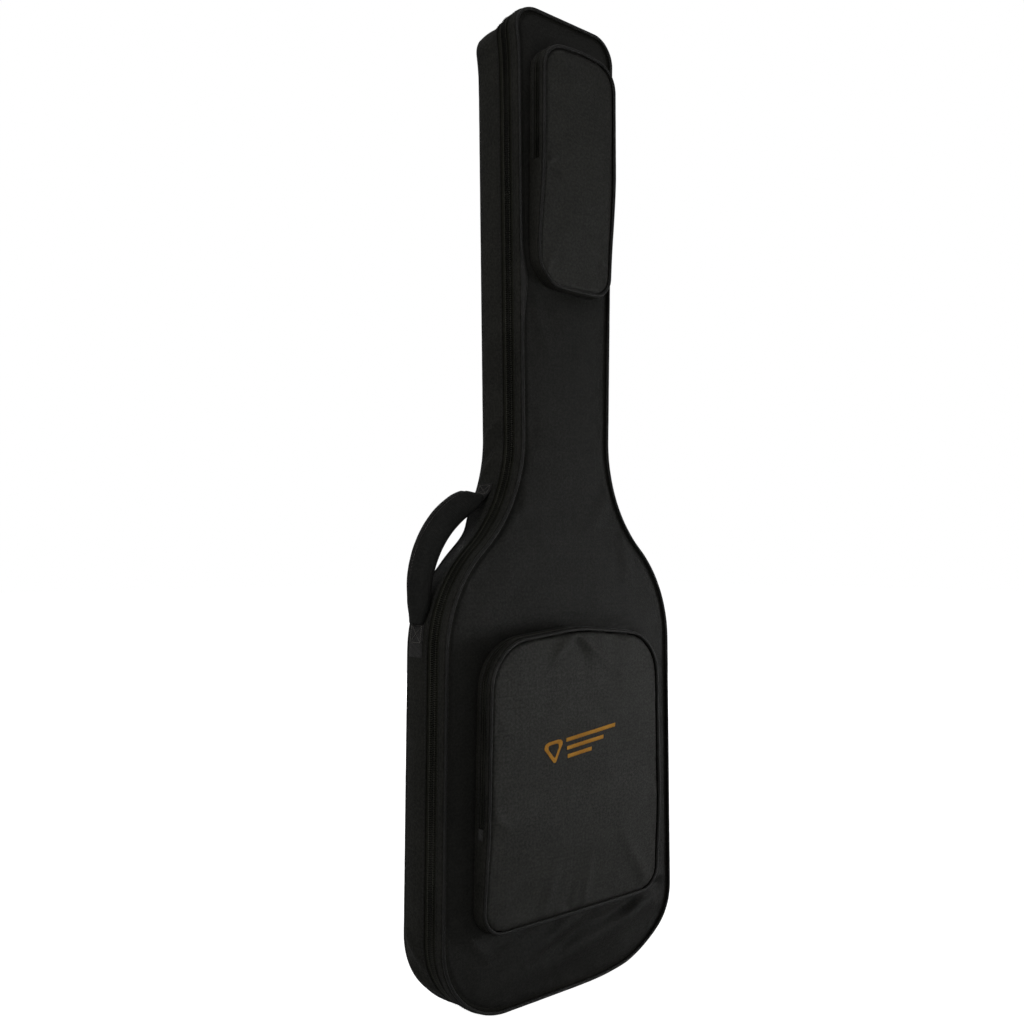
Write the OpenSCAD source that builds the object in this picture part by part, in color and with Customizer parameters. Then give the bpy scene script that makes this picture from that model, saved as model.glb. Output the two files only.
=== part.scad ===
// Padded gig bag for a bass guitar, standing on its base with its front towards -Y.
// A padded tray and a lid are joined by a long coil zip and by a fabric hinge on the
// right side. The lid carries two zipped pockets, the tray the handle and the straps.

/* [Bag outline] */
// Height over the covers
bag_height = 1200; // [1000:5:1440]
// Width across the lower bout, where the sides would meet the base line
bag_width = 393; // [327:1:472]
// Depth from the front cover to the back cover
bag_depth = 74; // [66:1:100]
// How much narrower each side is at the shoulder than at the base
body_taper = 7.5; // [0:0.5:15]
// Height of the shoulder corner
shoulder_height = 498; // [440:1:540]
// Height of the waist corner, where the neck begins
waist_height = 604; // [580:1:640]
// Width of the neck at the waist
neck_width = 146; // [140:1:170]
// Width at the headstock end
head_width = 164; // [155:1:195]
// Radius of the two base corners
base_radius = 95; // [60:1:115]
// Radius of the two shoulder curves
shoulder_radius = 165; // [100:1:198]
// Radius of the two waist curves
waist_radius = 180; // [100:1:216]
// Radius of the two top corners
head_radius = 34; // [20:1:45]

/* [Walls] */
// Cover fabric with its coating
cover_t = 1.0; // [0.6:0.1:1.6]
// Lining fabric
lining_t = 0.8; // [0.5:0.1:1.2]
// Foam in the front and back panels
panel_foam_t = 8; // [5:0.5:12]
// Foam in the side wall
gusset_foam_t = 6; // [4:0.5:9]
// Lined strip between the front panel and the zip
strip_t = 2.7; // [2.2:0.1:3.5]
// How far that strip reaches past the front panel's lining
strip_hem = 3.2; // [2:0.2:6]
// Diameter of the piping on every panel edge
piping_d = 4; // [3:0.2:5]
// How far the piping stands proud of its panel
piping_proud = 1.5; // [0.5:0.1:1.8]

/* [Main zip] */
// Width of the closed chain
chain_w = 12; // [8:0.5:14.5]
// Thickness of the coil
chain_t = 2.2; // [1.8:0.1:2.4]
// Tape that shows on each side of the chain
tape_show = 5; // [3:0.5:8]
// Thickness of the woven tape
tape_t = 0.8; // [0.5:0.1:1]
// Lower end of the stretch where the lid is hinged and has no zip
hinge_low = 130; // [115:5:180]
// Upper end of that stretch
hinge_high = 390; // [320:5:400]
// Height at which the two sliders meet
slider_meet = 930; // [800:5:960]

/* [Pockets] */
// Depth of a closed pocket
pocket_depth = 24; // [20:1:34]
// Fabric of a pocket's side wall
pocket_t = 2; // [1.8:0.1:2.4]
// Padded panel on the front of a pocket
pocket_panel_t = 4; // [3.5:0.1:5]
// Width of the head pocket
head_pocket_w = 128; // [106:1:140]
// Height of the head pocket
head_pocket_h = 294; // [245:1:353]
// Gap from the top of the bag to the head pocket
head_pocket_gap = 44; // [36:1:60]
// Part of the head pocket that the zip opens
head_flap_h = 144; // [120:1:173]
// Width of the music pocket at its base
music_pocket_w = 302; // [252:1:310]
// Height of the music pocket
music_pocket_h = 352; // [320:1:380]
// Height of the music pocket's lower edge
music_pocket_z = 100; // [80:1:120]
// Part of the music pocket that the zip opens
music_flap_h = 225; // [190:1:250]
// Width of the closed chain of a pocket zip
pocket_chain_w = 6.4; // [5:0.2:7]
// Thickness of a pocket zip's coil
pocket_chain_t = 1.6; // [1.3:0.1:1.7]

/* [Handle] */
// Radius of the handle's outer curve
handle_radius = 129; // [115:1:155]
// Width of the padded grip
grip_w = 32; // [26:1:34]
// Thickness of the padded grip
grip_t = 10; // [8:0.5:12]
// Width of the handle webbing
handle_web_w = 25; // [20:1:25]
// Thickness of the handle webbing
handle_web_t = 2.4; // [1.6:0.1:3]

/* [Straps] */
// Width of a shoulder pad
pad_w = 55; // [45:1:66]
// Thickness of a shoulder pad
pad_t = 10; // [8:0.5:14]
// Length of a shoulder pad
pad_length = 340; // [280:5:400]
// Width of the strap webbing
strap_web_w = 30; // [25:1:34]
// Thickness of the strap webbing
strap_web_t = 1.6; // [1.2:0.1:2]
// Height of the upper strap anchor
strap_top = 650; // [630:5:700]
// Height of the lower strap anchors
strap_low = 110; // [100:1:130]

/* [Hidden] */

arc_steps = 8;         // straight pieces in each rounded corner
cord_sides = 8;        // sides of a piping cord
seam_gap = 0.3;        // clearance around the piping
length_gap = 0.2;      // gap between the lengths of fabric that make up a side wall
joint_gap = 0.3;       // gap between edges that part when a flap or the lid opens
chain_gap = 1.2;       // gap between the two halves of a zip's chain
tape_hem = 1;          // how far a pocket's zip tape reaches under the fabric
pocket_tape_show = 1.3; // tape that shows on each side of a pocket zip's chain

head_pocket_taper = 2;   // how far each side of the head pocket leans in
head_pocket_crown = 5;   // rise of its top edge in the middle
head_pocket_low_r = 28;  // radius of its lower corners
head_pocket_high_r = 34; // radius of its upper corners
music_pocket_taper = 8;  // the same four for the music pocket
music_pocket_crown = 14;
music_pocket_low_r = 32;
music_pocket_high_r = 62;
crown_r = 4;             // radius of the top's middle as a multiple of the upper corners'

tab_t = 0.8;           // thickness of the tabs on the zip ends
tab_l = 14;            // length of those tabs
slider_gap = 0.7;      // clearance between a slider's plates and the zip
slider_t = 1.5;        // thickness of a slider's plates
slider_side = 1;       // how far a slider's plates reach past the chain
slider_l = 22;         // length of a main slider
slider_play = 1;       // gap between the two main sliders where they meet
pocket_slider_l = 16;  // length of a pocket slider
pocket_slider_rise = 2; // gap between a pocket slider and the end of its zip
post_l = 5;            // length of the post that joins a slider's plates
ear_t = 1.4;           // thickness of a slider's ears
ear_r = 1.7;           // radius of the rounded top of an ear
pin_r = 0.9;           // radius of a slider's pin
pin_play = 0.08;       // radial clearance of a pull on its pin
eye_r = 2;             // outer radius of a pull's eye
eye_w = 4.4;           // width of a pull's eye
eye_play = 0.3;        // clearance between a pull's eye and the ears and plate
eye_neck = 1.5;        // distance from a slider's ears to a pull's full width
pull_t = 1.4;          // thickness of a pull
pull_w = 8;            // width of a main pull
pocket_pull_l = 24;    // length of a pocket pull
pocket_pull_w = 6.4;   // width of a pocket pull
upper_pull_tilt = 11;  // angle at which the upper pull rests on the lower slider

handle_drop = 112;     // depth of the handle's centre below the waist
handle_in = 10;        // distance of the handle's centre inside the neck's side
anchor_l = 14;         // how far the handle's anchors reach past its curve
grip_from = 113;       // angle at which the grip begins
grip_to = 183;         // angle at which the grip ends

anchor_t = 3;          // thickness of the strap anchors
anchor_h = 42;         // height of the strap anchors
anchor_side = 2;       // how far a lower anchor reaches past the webbing on each side
strap_top_x = 38;      // distance of a strap's upper end from the middle
strap_low_in = 60;     // distance of a strap's lower end inside the bag's side
strap_gap = 0.4;       // clearance between the straps and the back cover
lock_bar = 3;          // width and thickness of a ladder lock's bars
lock_slot = 5;         // width of a ladder lock's slots
lock_rail = 4;         // width of a ladder lock's side rails
lock_play = 0.3;       // clearance between webbing and ladder lock
lock_drop = 14;        // gap between a pad and its ladder lock
tail_l = 95;           // loose end of the strap webbing

thread_t = 0.9;        // height of the embroidery
badge_tilt = 7;        // slope of the embroidered badge
badge_x = -5;          // distance of the badge to the right of the middle
badge_rise = 84;       // height of the badge above the music pocket's fold
big = 4000;            // larger than any part, for cutting

// The whole is centred on Y, with the pockets in front and the straps behind.
front_reach = pocket_depth + piping_proud;
back_reach = strap_gap + pad_t;
mid_y = (front_reach - back_reach) / 2;
front_y = mid_y - bag_depth / 2;
back_y = mid_y + bag_depth / 2;
welt_in = piping_d + 2 * seam_gap;
welt_depth = piping_d - piping_proud + seam_gap;
foam_depth = cover_t + panel_foam_t;
panel_t = foam_depth + lining_t;
wall_t = cover_t + gusset_foam_t + lining_t;
strip_y = front_y + panel_t + strip_hem;
zip_y = strip_y + tape_show + chain_w / 2;
gusset_y = zip_y + chain_w / 2 + tape_show;
tape_in = strip_t + tape_t;
hem_y = gusset_y + strip_hem;

neck_half = neck_width / 2;
base_point = [bag_width / 2, 0];
shoulder_point = [bag_width / 2 - body_taper, shoulder_height];
waist_point = [neck_half, waist_height];
head_point = [head_width / 2, bag_height];

// The shoulder and waist curves share one slanting edge, so both shrink if it is short.
slant = norm(waist_point - shoulder_point);
slant_use = reach(base_point, shoulder_point, waist_point, shoulder_radius)
    + reach(shoulder_point, waist_point, head_point, waist_radius);
slant_fit = min(1, slant / slant_use);

// Corners as [x, z, radius], counter-clockwise from the lower right.
right_corners = [
    corner(base_point, base_radius),
    corner(shoulder_point, shoulder_radius * slant_fit),
    corner(waist_point, waist_radius * slant_fit),
    corner(head_point, head_radius)];
bag_corners = concat(right_corners, mirrored(right_corners));

head_pocket_top = bag_height - head_pocket_gap;
head_fold = head_pocket_top - head_flap_h;
head_corners = pocket_corners(
    head_pocket_w / 2, head_pocket_taper, head_pocket_top - head_pocket_h, head_pocket_top,
    head_pocket_crown, head_pocket_low_r, head_pocket_high_r);
music_pocket_top = music_pocket_z + music_pocket_h;
music_fold = music_pocket_top - music_flap_h;
music_corners = pocket_corners(
    music_pocket_w / 2, music_pocket_taper, music_pocket_z, music_pocket_top,
    music_pocket_crown, music_pocket_low_r, music_pocket_high_r);

pocket_face_y = front_y - pocket_depth;
pocket_back_y = pocket_face_y + pocket_panel_t;
pocket_edge_y = pocket_face_y + welt_depth;
pocket_zip_y = front_y - pocket_depth / 2;
pocket_band_y = pocket_zip_y + pocket_chain_w / 2 + pocket_tape_show;
flap_band_y = pocket_zip_y - pocket_chain_w / 2 - pocket_tape_show;
pocket_tape_in = pocket_t + tape_t;

neck_tilt = tilt(waist_point, head_point);
upper_slider_z = slider_meet + (slider_l + slider_play) / 2;
lower_slider_z = slider_meet - (slider_l + slider_play) / 2;
pull_l = slider_l + slider_play - eye_r - slider_gap;
chain_sink = strip_t - chain_t;
pocket_chain_sink = pocket_t - pocket_chain_t;

handle_centre = [handle_in - neck_half, waist_height - handle_drop];
handle_y = (hem_y + back_y - welt_depth) / 2;
web_radius = handle_radius - (grip_t - handle_web_t) / 2;

strap_run = [bag_width / 2 - strap_low_in - strap_top_x, strap_top - strap_low];
strap_tilt = atan2(strap_run.x, strap_run.y);
lock_z = -pad_length - lock_drop;
lock_low_y = strap_web_t + lock_play;
lock_high_y = lock_low_y + lock_bar + lock_play;
slot_pitch = lock_bar + lock_slot;

// ---- Outlines ----

function unit(v) = v / norm(v);
function flat_point(c) = [c.x, c.y];
function corner(p, radius) = [p.x, p.y, radius];
function tilt(low, high) = atan2(high.x - low.x, high.y - low.y);
function mix(a, b, t) = a + (b - a) * t;
function at_height(low, high, z) = mix(low, high, (z - low.y) / (high.y - low.y));

function mirrored(corners) =
    [for (i = [len(corners) - 1:-1:0]) [-corners[i].x, corners[i].y, corners[i].z]];

// Half of the angle between the two edges that meet in a corner.
function half_angle(before, at, after) =
    acos(unit(before - at) * unit(after - at)) / 2;

// Length of edge that a rounded corner uses up.
function reach(before, at, after, radius) = radius / tan(half_angle(before, at, after));

// A pocket narrows by taper on each side and rises by crown in the middle of its top.
function pocket_corners(half, taper, low, high, crown, r_low, r_high) =
    let (side = [[half, low, r_low], [half - taper, high - crown, r_high]])
    concat(side, [[0, high, r_high * crown_r]], mirrored(side));

// One rounded corner, moved inwards by inset: its centre stays and its radius changes.
function corner_arc(before, at, after, radius, inset) =
    let (
        u = unit(before - at),
        v = unit(after - at),
        half = half_angle(before, at, after),
        side = u.y * v.x > u.x * v.y ? 1 : -1,
        centre = at + unit(u + v) * radius / sin(half),
        first = atan2(u.x, -u.y))
    [for (i = [0:arc_steps])
        let (a = first + side * (180 - 2 * half) * i / arc_steps)
        centre + (side * radius - inset) * [cos(a), sin(a)]];

// The arcs of all corners, one list for each.
function arcs(corners, inset) =
    let (n = len(corners))
    [for (i = [0:n - 1]) corner_arc(
        flat_point(corners[(i + n - 1) % n]),
        flat_point(corners[i]),
        flat_point(corners[(i + 1) % n]),
        corners[i].z, inset)];

function outline(corners, inset = 0) = [for (arc = arcs(corners, inset)) each arc];

// Where a pocket's right side stands at a height.
function pocket_side(corners, inset, z) =
    let (a = arcs(corners, inset))
    at_height(a[0][arc_steps], a[1][0], z);

// Paths of the piping along the zipped part of a pocket and along the part below it.
function flap_path(corners, z) =
    let (in = piping_d / 2 + seam_gap, a = arcs(corners, in), p = pocket_side(corners, in, z))
    [p, each a[1], each a[2], each a[3], [-p.x, p.y]];
function pouch_path(corners, z) =
    let (in = piping_d / 2 + seam_gap, a = arcs(corners, in), p = pocket_side(corners, in, z))
    [[-p.x, p.y], each a[4], each a[0], p];

// ---- Plain shapes ----

// A flat shape drawn in X and Z, as a slab between two depths.
module slab(y0, y1) {
    translate([0, y1, 0])
        rotate([90, 0, 0])
            linear_extrude(y1 - y0)
                children();
}

module panel_shape(corners, inset) {
    polygon(outline(corners, inset));
}

module band_shape(corners, outer, inner) {
    difference() {
        panel_shape(corners, outer);
        panel_shape(corners, inner);
    }
}

module above(z) {
    intersection() {
        children();
        translate([-big / 2, z]) square(big);
    }
}

module below(z) {
    intersection() {
        children();
        translate([-big / 2, z - big]) square(big);
    }
}

// A side wall's band, divided into lengths where its curves begin and end.
module lengths_shape(corners, outer, inner) {
    over = arcs(corners, outer - 1);
    under = arcs(corners, inner + 1);
    difference() {
        band_shape(corners, outer, inner);
        for (i = [0:len(corners) - 1], k = [0, arc_steps])
            let (
                p = over[i][k],
                q = under[i][k],
                half = unit([p.y - q.y, q.x - p.x]) * length_gap / 2)
            polygon([p + half, p - half, q - half, q + half]);
    }
}

// The stretch of the right side where the lid is hinged, and all the rest.
module hinge_window(spare = 0) {
    translate([0, hinge_low - spare])
        square([big, hinge_high - hinge_low + 2 * spare]);
}

module hinged() {
    intersection() {
        children();
        hinge_window();
    }
}

module zipped() {
    difference() {
        children();
        hinge_window();
    }
}

// A round cord along points in X and Z at one depth. Its flats lie at the full diameter.
module cord(points, y, closed = true) {
    n = len(points);
    r = piping_d / 2 / cos(180 / cord_sides);
    rings = [for (i = [0:n - 1])
        let (
            before = points[closed ? (i + n - 1) % n : max(i - 1, 0)],
            after = points[closed ? (i + 1) % n : min(i + 1, n - 1)],
            along = unit(after - before))
        for (k = [0:cord_sides - 1])
            let (a = 360 * (k + 0.5) / cord_sides)
            [points[i].x + along.y * cos(a) * r,
             y + sin(a) * r,
             points[i].y - along.x * cos(a) * r]];
    walls = [for (i = [0:closed ? n - 1 : n - 2], k = [0:cord_sides - 1])
        let (j = (i + 1) % n, m = (k + 1) % cord_sides)
        [i * cord_sides + k, i * cord_sides + m, j * cord_sides + m, j * cord_sides + k]];
    first_cap = [for (k = [cord_sides - 1:-1:0]) k];
    last_cap = [for (k = [0:cord_sides - 1]) (n - 1) * cord_sides + k];
    polyhedron(rings, closed ? walls : concat(walls, [first_cap, last_cap]), convexity = 10);
}

// ---- Front and back panels ----

// Foam that fills its panel up to the side wall, stepped back around the piping.
module front_foam() {
    color("#d9d9d2") {
        slab(front_y + cover_t, front_y + welt_depth)
            panel_shape(bag_corners, welt_in);
        slab(front_y + welt_depth, front_y + foam_depth)
            panel_shape(bag_corners, strip_t);
    }
}

module back_foam() {
    color("#d9d9d2") {
        slab(back_y - welt_depth, back_y - cover_t)
            panel_shape(bag_corners, welt_in);
        slab(back_y - foam_depth, back_y - welt_depth)
            panel_shape(bag_corners, cover_t);
    }
}

module front_cover() {
    color("#262626")
        slab(front_y, front_y + cover_t)
            panel_shape(bag_corners, welt_in);
}

module back_cover() {
    color("#262626")
        slab(back_y - cover_t, back_y)
            panel_shape(bag_corners, welt_in);
}

module front_lining() {
    color("#3c3c3e")
        slab(front_y + foam_depth, front_y + panel_t)
            panel_shape(bag_corners, strip_t);
}

module back_lining() {
    color("#3c3c3e")
        slab(back_y - panel_t, back_y - foam_depth)
            panel_shape(bag_corners, wall_t);
}

module front_piping() {
    color("#1a1a1a")
        cord(outline(bag_corners, piping_d / 2 + seam_gap),
            front_y + piping_d / 2 - piping_proud);
}

module back_piping() {
    color("#1a1a1a")
        cord(outline(bag_corners, piping_d / 2 + seam_gap),
            back_y - piping_d / 2 + piping_proud);
}

// ---- Side wall ----

// Strip between the front panel and the zip, with the lid's half of the fabric hinge.
module front_strip() {
    color("#242422") {
        slab(front_y + welt_depth, strip_y)
            lengths_shape(bag_corners, 0, strip_t);
        slab(strip_y, zip_y - joint_gap / 2)
            hinged() band_shape(bag_corners, 0, strip_t);
    }
}

// Side wall of the tray, hemmed over the zip tape, with its half of the fabric hinge.
module rear_gusset_cover() {
    color("#242422") {
        slab(hem_y, back_y - welt_depth)
            lengths_shape(bag_corners, 0, cover_t);
        slab(gusset_y, hem_y)
            lengths_shape(bag_corners, 0, strip_t);
        slab(zip_y + joint_gap / 2, gusset_y)
            hinged() band_shape(bag_corners, 0, strip_t);
    }
}

module rear_gusset_foam() {
    color("#d9d9d2") {
        slab(hem_y, back_y - foam_depth)
            band_shape(bag_corners, cover_t, cover_t + gusset_foam_t);
        slab(gusset_y, hem_y)
            band_shape(bag_corners, tape_in, cover_t + gusset_foam_t);
    }
}

module rear_gusset_lining() {
    color("#3c3c3e")
        slab(gusset_y, back_y - foam_depth)
            band_shape(bag_corners, cover_t + gusset_foam_t, wall_t);
}

// ---- Main zip ----

module front_zip_tape() {
    color("#1e1f1c")
        slab(front_y + panel_t, zip_y - chain_gap / 2)
            zipped() band_shape(bag_corners, strip_t, tape_in);
}

module rear_zip_tape() {
    color("#1e1f1c")
        slab(zip_y + chain_gap / 2, hem_y)
            zipped() band_shape(bag_corners, strip_t, tape_in);
}

module front_zip_coil() {
    color("#161616")
        slab(zip_y - chain_w / 2, zip_y - chain_gap / 2)
            zipped() band_shape(bag_corners, chain_sink, strip_t);
}

module rear_zip_coil() {
    color("#161616")
        slab(zip_y + chain_gap / 2, zip_y + chain_w / 2)
            zipped() band_shape(bag_corners, chain_sink, strip_t);
}

// Tabs stitched over both ends of the zip, half of each on either side.
module zip_tabs(y0, y1) {
    color("#2b2b2b")
        slab(y0, y1)
            intersection() {
                band_shape(bag_corners, -tab_t, 0);
                difference() {
                    hinge_window(tab_l / 2);
                    hinge_window(-tab_l / 2);
                }
            }
}

module front_zip_tabs() {
    zip_tabs(strip_y - strip_hem, zip_y - joint_gap / 2);
}

module rear_zip_tabs() {
    zip_tabs(zip_y + joint_gap / 2, hem_y);
}

// ---- Sliders and pulls ----
// Drawn on a right-hand side wall: travel along Z, chain across Y, outwards along X.

function pin_out(sink) = slider_gap - sink + slider_t + eye_play + eye_r;

module slider(l, w, sink, under) {
    plate_x = slider_gap - sink;
    ears_x = plate_x + slider_t;
    pin_x = pin_out(sink);
    span = eye_w + 2 * eye_play;
    color("#2e2e30") {
        for (x = [plate_x, -under - slider_gap - slider_t])
            translate([x, -w / 2, -l / 2])
                cube([slider_t, w, l]);
        translate([-under - slider_gap, joint_gap - chain_gap / 2, -post_l / 2])
            cube([under + slider_gap + plate_x, chain_gap - 2 * joint_gap, post_l]);
        for (side = [-1, 1])
            translate([0, side * (span + ear_t) / 2, 0]) {
                translate([ears_x, -ear_t / 2, -ear_r])
                    cube([pin_x - ears_x, ear_t, 2 * ear_r]);
                translate([pin_x, 0, 0])
                    rotate([90, 0, 0])
                        cylinder(h = ear_t, r = ear_r, center = true, $fn = 32);
            }
        translate([pin_x, 0, 0])
            rotate([90, 0, 0])
                cylinder(h = span, r = pin_r, center = true, $fn = 32);
    }
}

// A pull hanging from its eye, which is the origin.
module pull(l, w) {
    neck_l = ear_r + eye_neck;
    color("#2e2e30")
        difference() {
            union() {
                rotate([90, 0, 0])
                    cylinder(h = eye_w, r = eye_r, center = true, $fn = 32);
                translate([-pull_t / 2, -eye_w / 2, -neck_l])
                    cube([pull_t, eye_w, neck_l]);
                translate([-pull_t / 2, -w / 2, w / 2 - l])
                    cube([pull_t, w, l - w / 2 - neck_l]);
                translate([0, 0, w / 2 - l])
                    rotate([0, 90, 0])
                        cylinder(h = pull_t, r = w / 2, center = true, $fn = 48);
            }
            rotate([90, 0, 0])
                cylinder(h = w, r = pin_r + pin_play, center = true, $fn = 32);
            translate([0, 0, w / 2 - l])
                rotate([0, 90, 0])
                    cylinder(h = w, r = w / 4, center = true, $fn = 32);
        }
}

// Places children on the right side of the neck, at a height on the zip.
module on_neck(z) {
    p = at_height(waist_point, head_point, z);
    translate([p.x, zip_y, z])
        rotate([0, neck_tilt, 0])
            children();
}

module main_slider(z) {
    on_neck(z)
        slider(slider_l, chain_w + 2 * slider_side, chain_sink, tape_in);
}

module main_pull(z, angle) {
    on_neck(z)
        translate([pin_out(chain_sink), 0, 0])
            rotate([0, -angle, 0])
                pull(pull_l, pull_w);
}

module upper_slider() {
    main_slider(upper_slider_z);
}

module lower_slider() {
    main_slider(lower_slider_z);
}

module upper_pull() {
    main_pull(upper_slider_z, upper_pull_tilt);
}

module lower_pull() {
    main_pull(lower_slider_z, 0);
}

// ---- Pockets ----
// Each has a fixed pouch and a flap that folds forward about the upper edge of the pouch.

// Side wall: as deep as the zip above the fold, and full depth below it.
module pocket_gusset(corners, fold) {
    color("#242422") {
        slab(pocket_band_y, front_y)
            band_shape(corners, 0, pocket_t);
        slab(pocket_edge_y, pocket_band_y)
            below(fold - joint_gap / 2) band_shape(corners, 0, pocket_t);
    }
}

module flap_gusset(corners, fold) {
    color("#242422")
        slab(pocket_edge_y, flap_band_y)
            above(fold + joint_gap / 2) band_shape(corners, 0, pocket_t);
}

// Padded front, stepped back around the piping.
module pouch_panel(corners, fold) {
    color("#282828") {
        slab(pocket_face_y, pocket_edge_y)
            below(fold - joint_gap / 2) panel_shape(corners, welt_in);
        slab(pocket_edge_y, pocket_back_y)
            below(fold - joint_gap / 2) panel_shape(corners, pocket_t);
    }
}

module flap_panel(corners, fold) {
    color("#282828") {
        slab(pocket_face_y, pocket_edge_y)
            above(fold + joint_gap / 2) panel_shape(corners, welt_in);
        slab(pocket_edge_y, pocket_back_y)
            above(fold + joint_gap / 2) panel_shape(corners, pocket_t);
    }
}

module pocket_piping(path) {
    color("#1a1a1a")
        cord(path, pocket_face_y + piping_d / 2 - piping_proud, closed = false);
}

module pocket_zip(corners, fold, coil_from, coil_to, tape_from, tape_to) {
    color("#1a1b18") {
        slab(coil_from, coil_to)
            above(fold + joint_gap / 2)
                band_shape(corners, pocket_chain_sink, pocket_t);
        slab(tape_from, tape_to)
            above(fold + joint_gap / 2)
                band_shape(corners, pocket_t, pocket_tape_in);
    }
}

module pocket_zip_rear(corners, fold) {
    edge = pocket_zip_y + chain_gap / 2;
    pocket_zip(corners, fold,
        edge, pocket_zip_y + pocket_chain_w / 2,
        edge, pocket_band_y + tape_hem);
}

module pocket_zip_front(corners, fold) {
    edge = pocket_zip_y - chain_gap / 2;
    pocket_zip(corners, fold,
        pocket_zip_y - pocket_chain_w / 2, edge,
        flap_band_y - tape_hem, edge);
}

// Tabs stitched over both ends of a pocket's zip, below the fold.
module pocket_tabs(corners, fold) {
    color("#2b2b2b")
        slab(flap_band_y, pocket_band_y + tape_hem)
            above(fold - tab_l)
                below(fold - joint_gap)
                    band_shape(corners, -tab_t, 0);
}

// Places children on the right side of a pocket, just above the end of its zip.
module on_pocket(corners, fold) {
    z = fold + pocket_slider_rise + pocket_slider_l / 2;
    p = pocket_side(corners, 0, z);
    low = flat_point(corners[0]);
    high = flat_point(corners[1]);
    translate([p.x, pocket_zip_y, z])
        rotate([0, tilt(low, high), 0])
            children();
}

module pocket_slider(corners, fold) {
    on_pocket(corners, fold)
        slider(pocket_slider_l, pocket_chain_w + 2 * slider_side,
            pocket_chain_sink, pocket_tape_in);
}

module pocket_pull(corners, fold) {
    on_pocket(corners, fold)
        translate([pin_out(pocket_chain_sink), 0, 0])
            pull(pocket_pull_l, pocket_pull_w);
}

module head_pocket_gusset() { pocket_gusset(head_corners, head_fold); }
module head_pouch_panel() { pouch_panel(head_corners, head_fold); }
module head_pouch_piping() { pocket_piping(pouch_path(head_corners, head_fold - joint_gap / 2)); }
module head_zip_rear() { pocket_zip_rear(head_corners, head_fold); }
module head_zip_tabs() { pocket_tabs(head_corners, head_fold); }
module head_flap_panel() { flap_panel(head_corners, head_fold); }
module head_flap_gusset() { flap_gusset(head_corners, head_fold); }
module head_flap_piping() { pocket_piping(flap_path(head_corners, head_fold + joint_gap / 2)); }
module head_zip_front() { pocket_zip_front(head_corners, head_fold); }
module head_slider() { pocket_slider(head_corners, head_fold); }
module head_pull() { pocket_pull(head_corners, head_fold); }

module music_pocket_gusset() { pocket_gusset(music_corners, music_fold); }
module music_pouch_panel() { pouch_panel(music_corners, music_fold); }
module music_pouch_piping() { pocket_piping(pouch_path(music_corners, music_fold - joint_gap / 2)); }
module music_zip_rear() { pocket_zip_rear(music_corners, music_fold); }
module music_zip_tabs() { pocket_tabs(music_corners, music_fold); }
module music_flap_panel() { flap_panel(music_corners, music_fold); }
module music_flap_gusset() { flap_gusset(music_corners, music_fold); }
module music_flap_piping() { pocket_piping(flap_path(music_corners, music_fold + joint_gap / 2)); }
module music_zip_front() { pocket_zip_front(music_corners, music_fold); }
module music_slider() { pocket_slider(music_corners, music_fold); }
module music_pull() { pocket_pull(music_corners, music_fold); }

// Stitched badge on the music pocket: a plectrum with bars that shorten away from it.
module embroidery() {
    pick_r = 6;
    pick_half = 9;
    pick_low = -12;
    pick_x = -42;
    bar_h = 5;
    bar_x = pick_x + 22;
    bar_top = 8;
    bar_pitch = 10;
    bar_l = 84;
    bar_step = 22;
    color("#c8963c")
        slab(pocket_face_y - thread_t, pocket_face_y)
            translate([badge_x, music_fold + badge_rise])
                rotate(badge_tilt) {
                    hull() {
                        for (side = [-1, 1])
                            translate([pick_x + side * pick_half, pick_r])
                                circle(r = pick_r, $fn = 24);
                        translate([pick_x, pick_low]) circle(r = pick_r / 2, $fn = 24);
                    }
                    for (i = [0:2])
                        translate([bar_x, bar_top - i * bar_pitch - bar_h / 2])
                            square([bar_l - i * bar_step, bar_h]);
                }
}

// ---- Handle ----

// Ring sector about the handle's centre, between two radii, in X and Z.
module handle_ring(inner, outer) {
    translate(handle_centre)
        difference() {
            circle(r = outer, $fn = 128);
            circle(r = inner, $fn = 128);
        }
}

module left_half() {
    intersection() {
        children();
        translate([-big, -big / 2]) square(big);
    }
}

// The outer curve of the webbing, cut off where it meets its anchors.
module web_shape() {
    left_half()
        difference() {
            handle_ring(web_radius - handle_web_t, web_radius);
            panel_shape(bag_corners, -handle_web_t);
        }
}

module handle_webbing() {
    color("#1d1d1d")
        slab(handle_y - handle_web_w / 2, handle_y + handle_web_w / 2)
            web_shape();
}

// Stitched ends of the webbing, flat on the side wall beyond the handle's curve.
module handle_anchors() {
    color("#222222")
        slab(handle_y - handle_web_w / 2, handle_y + handle_web_w / 2)
            left_half()
                intersection() {
                    band_shape(bag_corners, -handle_web_t, 0);
                    handle_ring(web_radius - 2 * handle_web_t, web_radius + anchor_l);
                }
}

// Padded sleeve around the middle of the webbing.
module handle_grip() {
    far = 2 * handle_radius;
    color("#191919")
        difference() {
            slab(handle_y - grip_w / 2, handle_y + grip_w / 2)
                intersection() {
                    handle_ring(handle_radius - grip_t, handle_radius);
                    translate(handle_centre)
                        polygon([[0, 0],
                            far * [cos(grip_from), sin(grip_from)],
                            far * [cos((grip_from + grip_to) / 2), sin((grip_from + grip_to) / 2)],
                            far * [cos(grip_to), sin(grip_to)]]);
                }
            slab(handle_y - handle_web_w / 2, handle_y + handle_web_w / 2)
                handle_ring(web_radius - handle_web_t, web_radius);
        }
}

// ---- Shoulder straps ----
// Drawn along -Z from the upper anchor, with the back cover at Y = 0.

module on_strap(side) {
    translate([side * strap_top_x, back_y + strap_gap, strap_top])
        rotate([0, -side * strap_tilt, 0])
            children();
}

module strap_top_anchor() {
    color("#222222")
        translate([0, back_y, strap_top])
            slab(0, anchor_t)
                translate([-neck_half + welt_in, 0])
                    square([neck_width - 2 * welt_in, anchor_h]);
}

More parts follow.
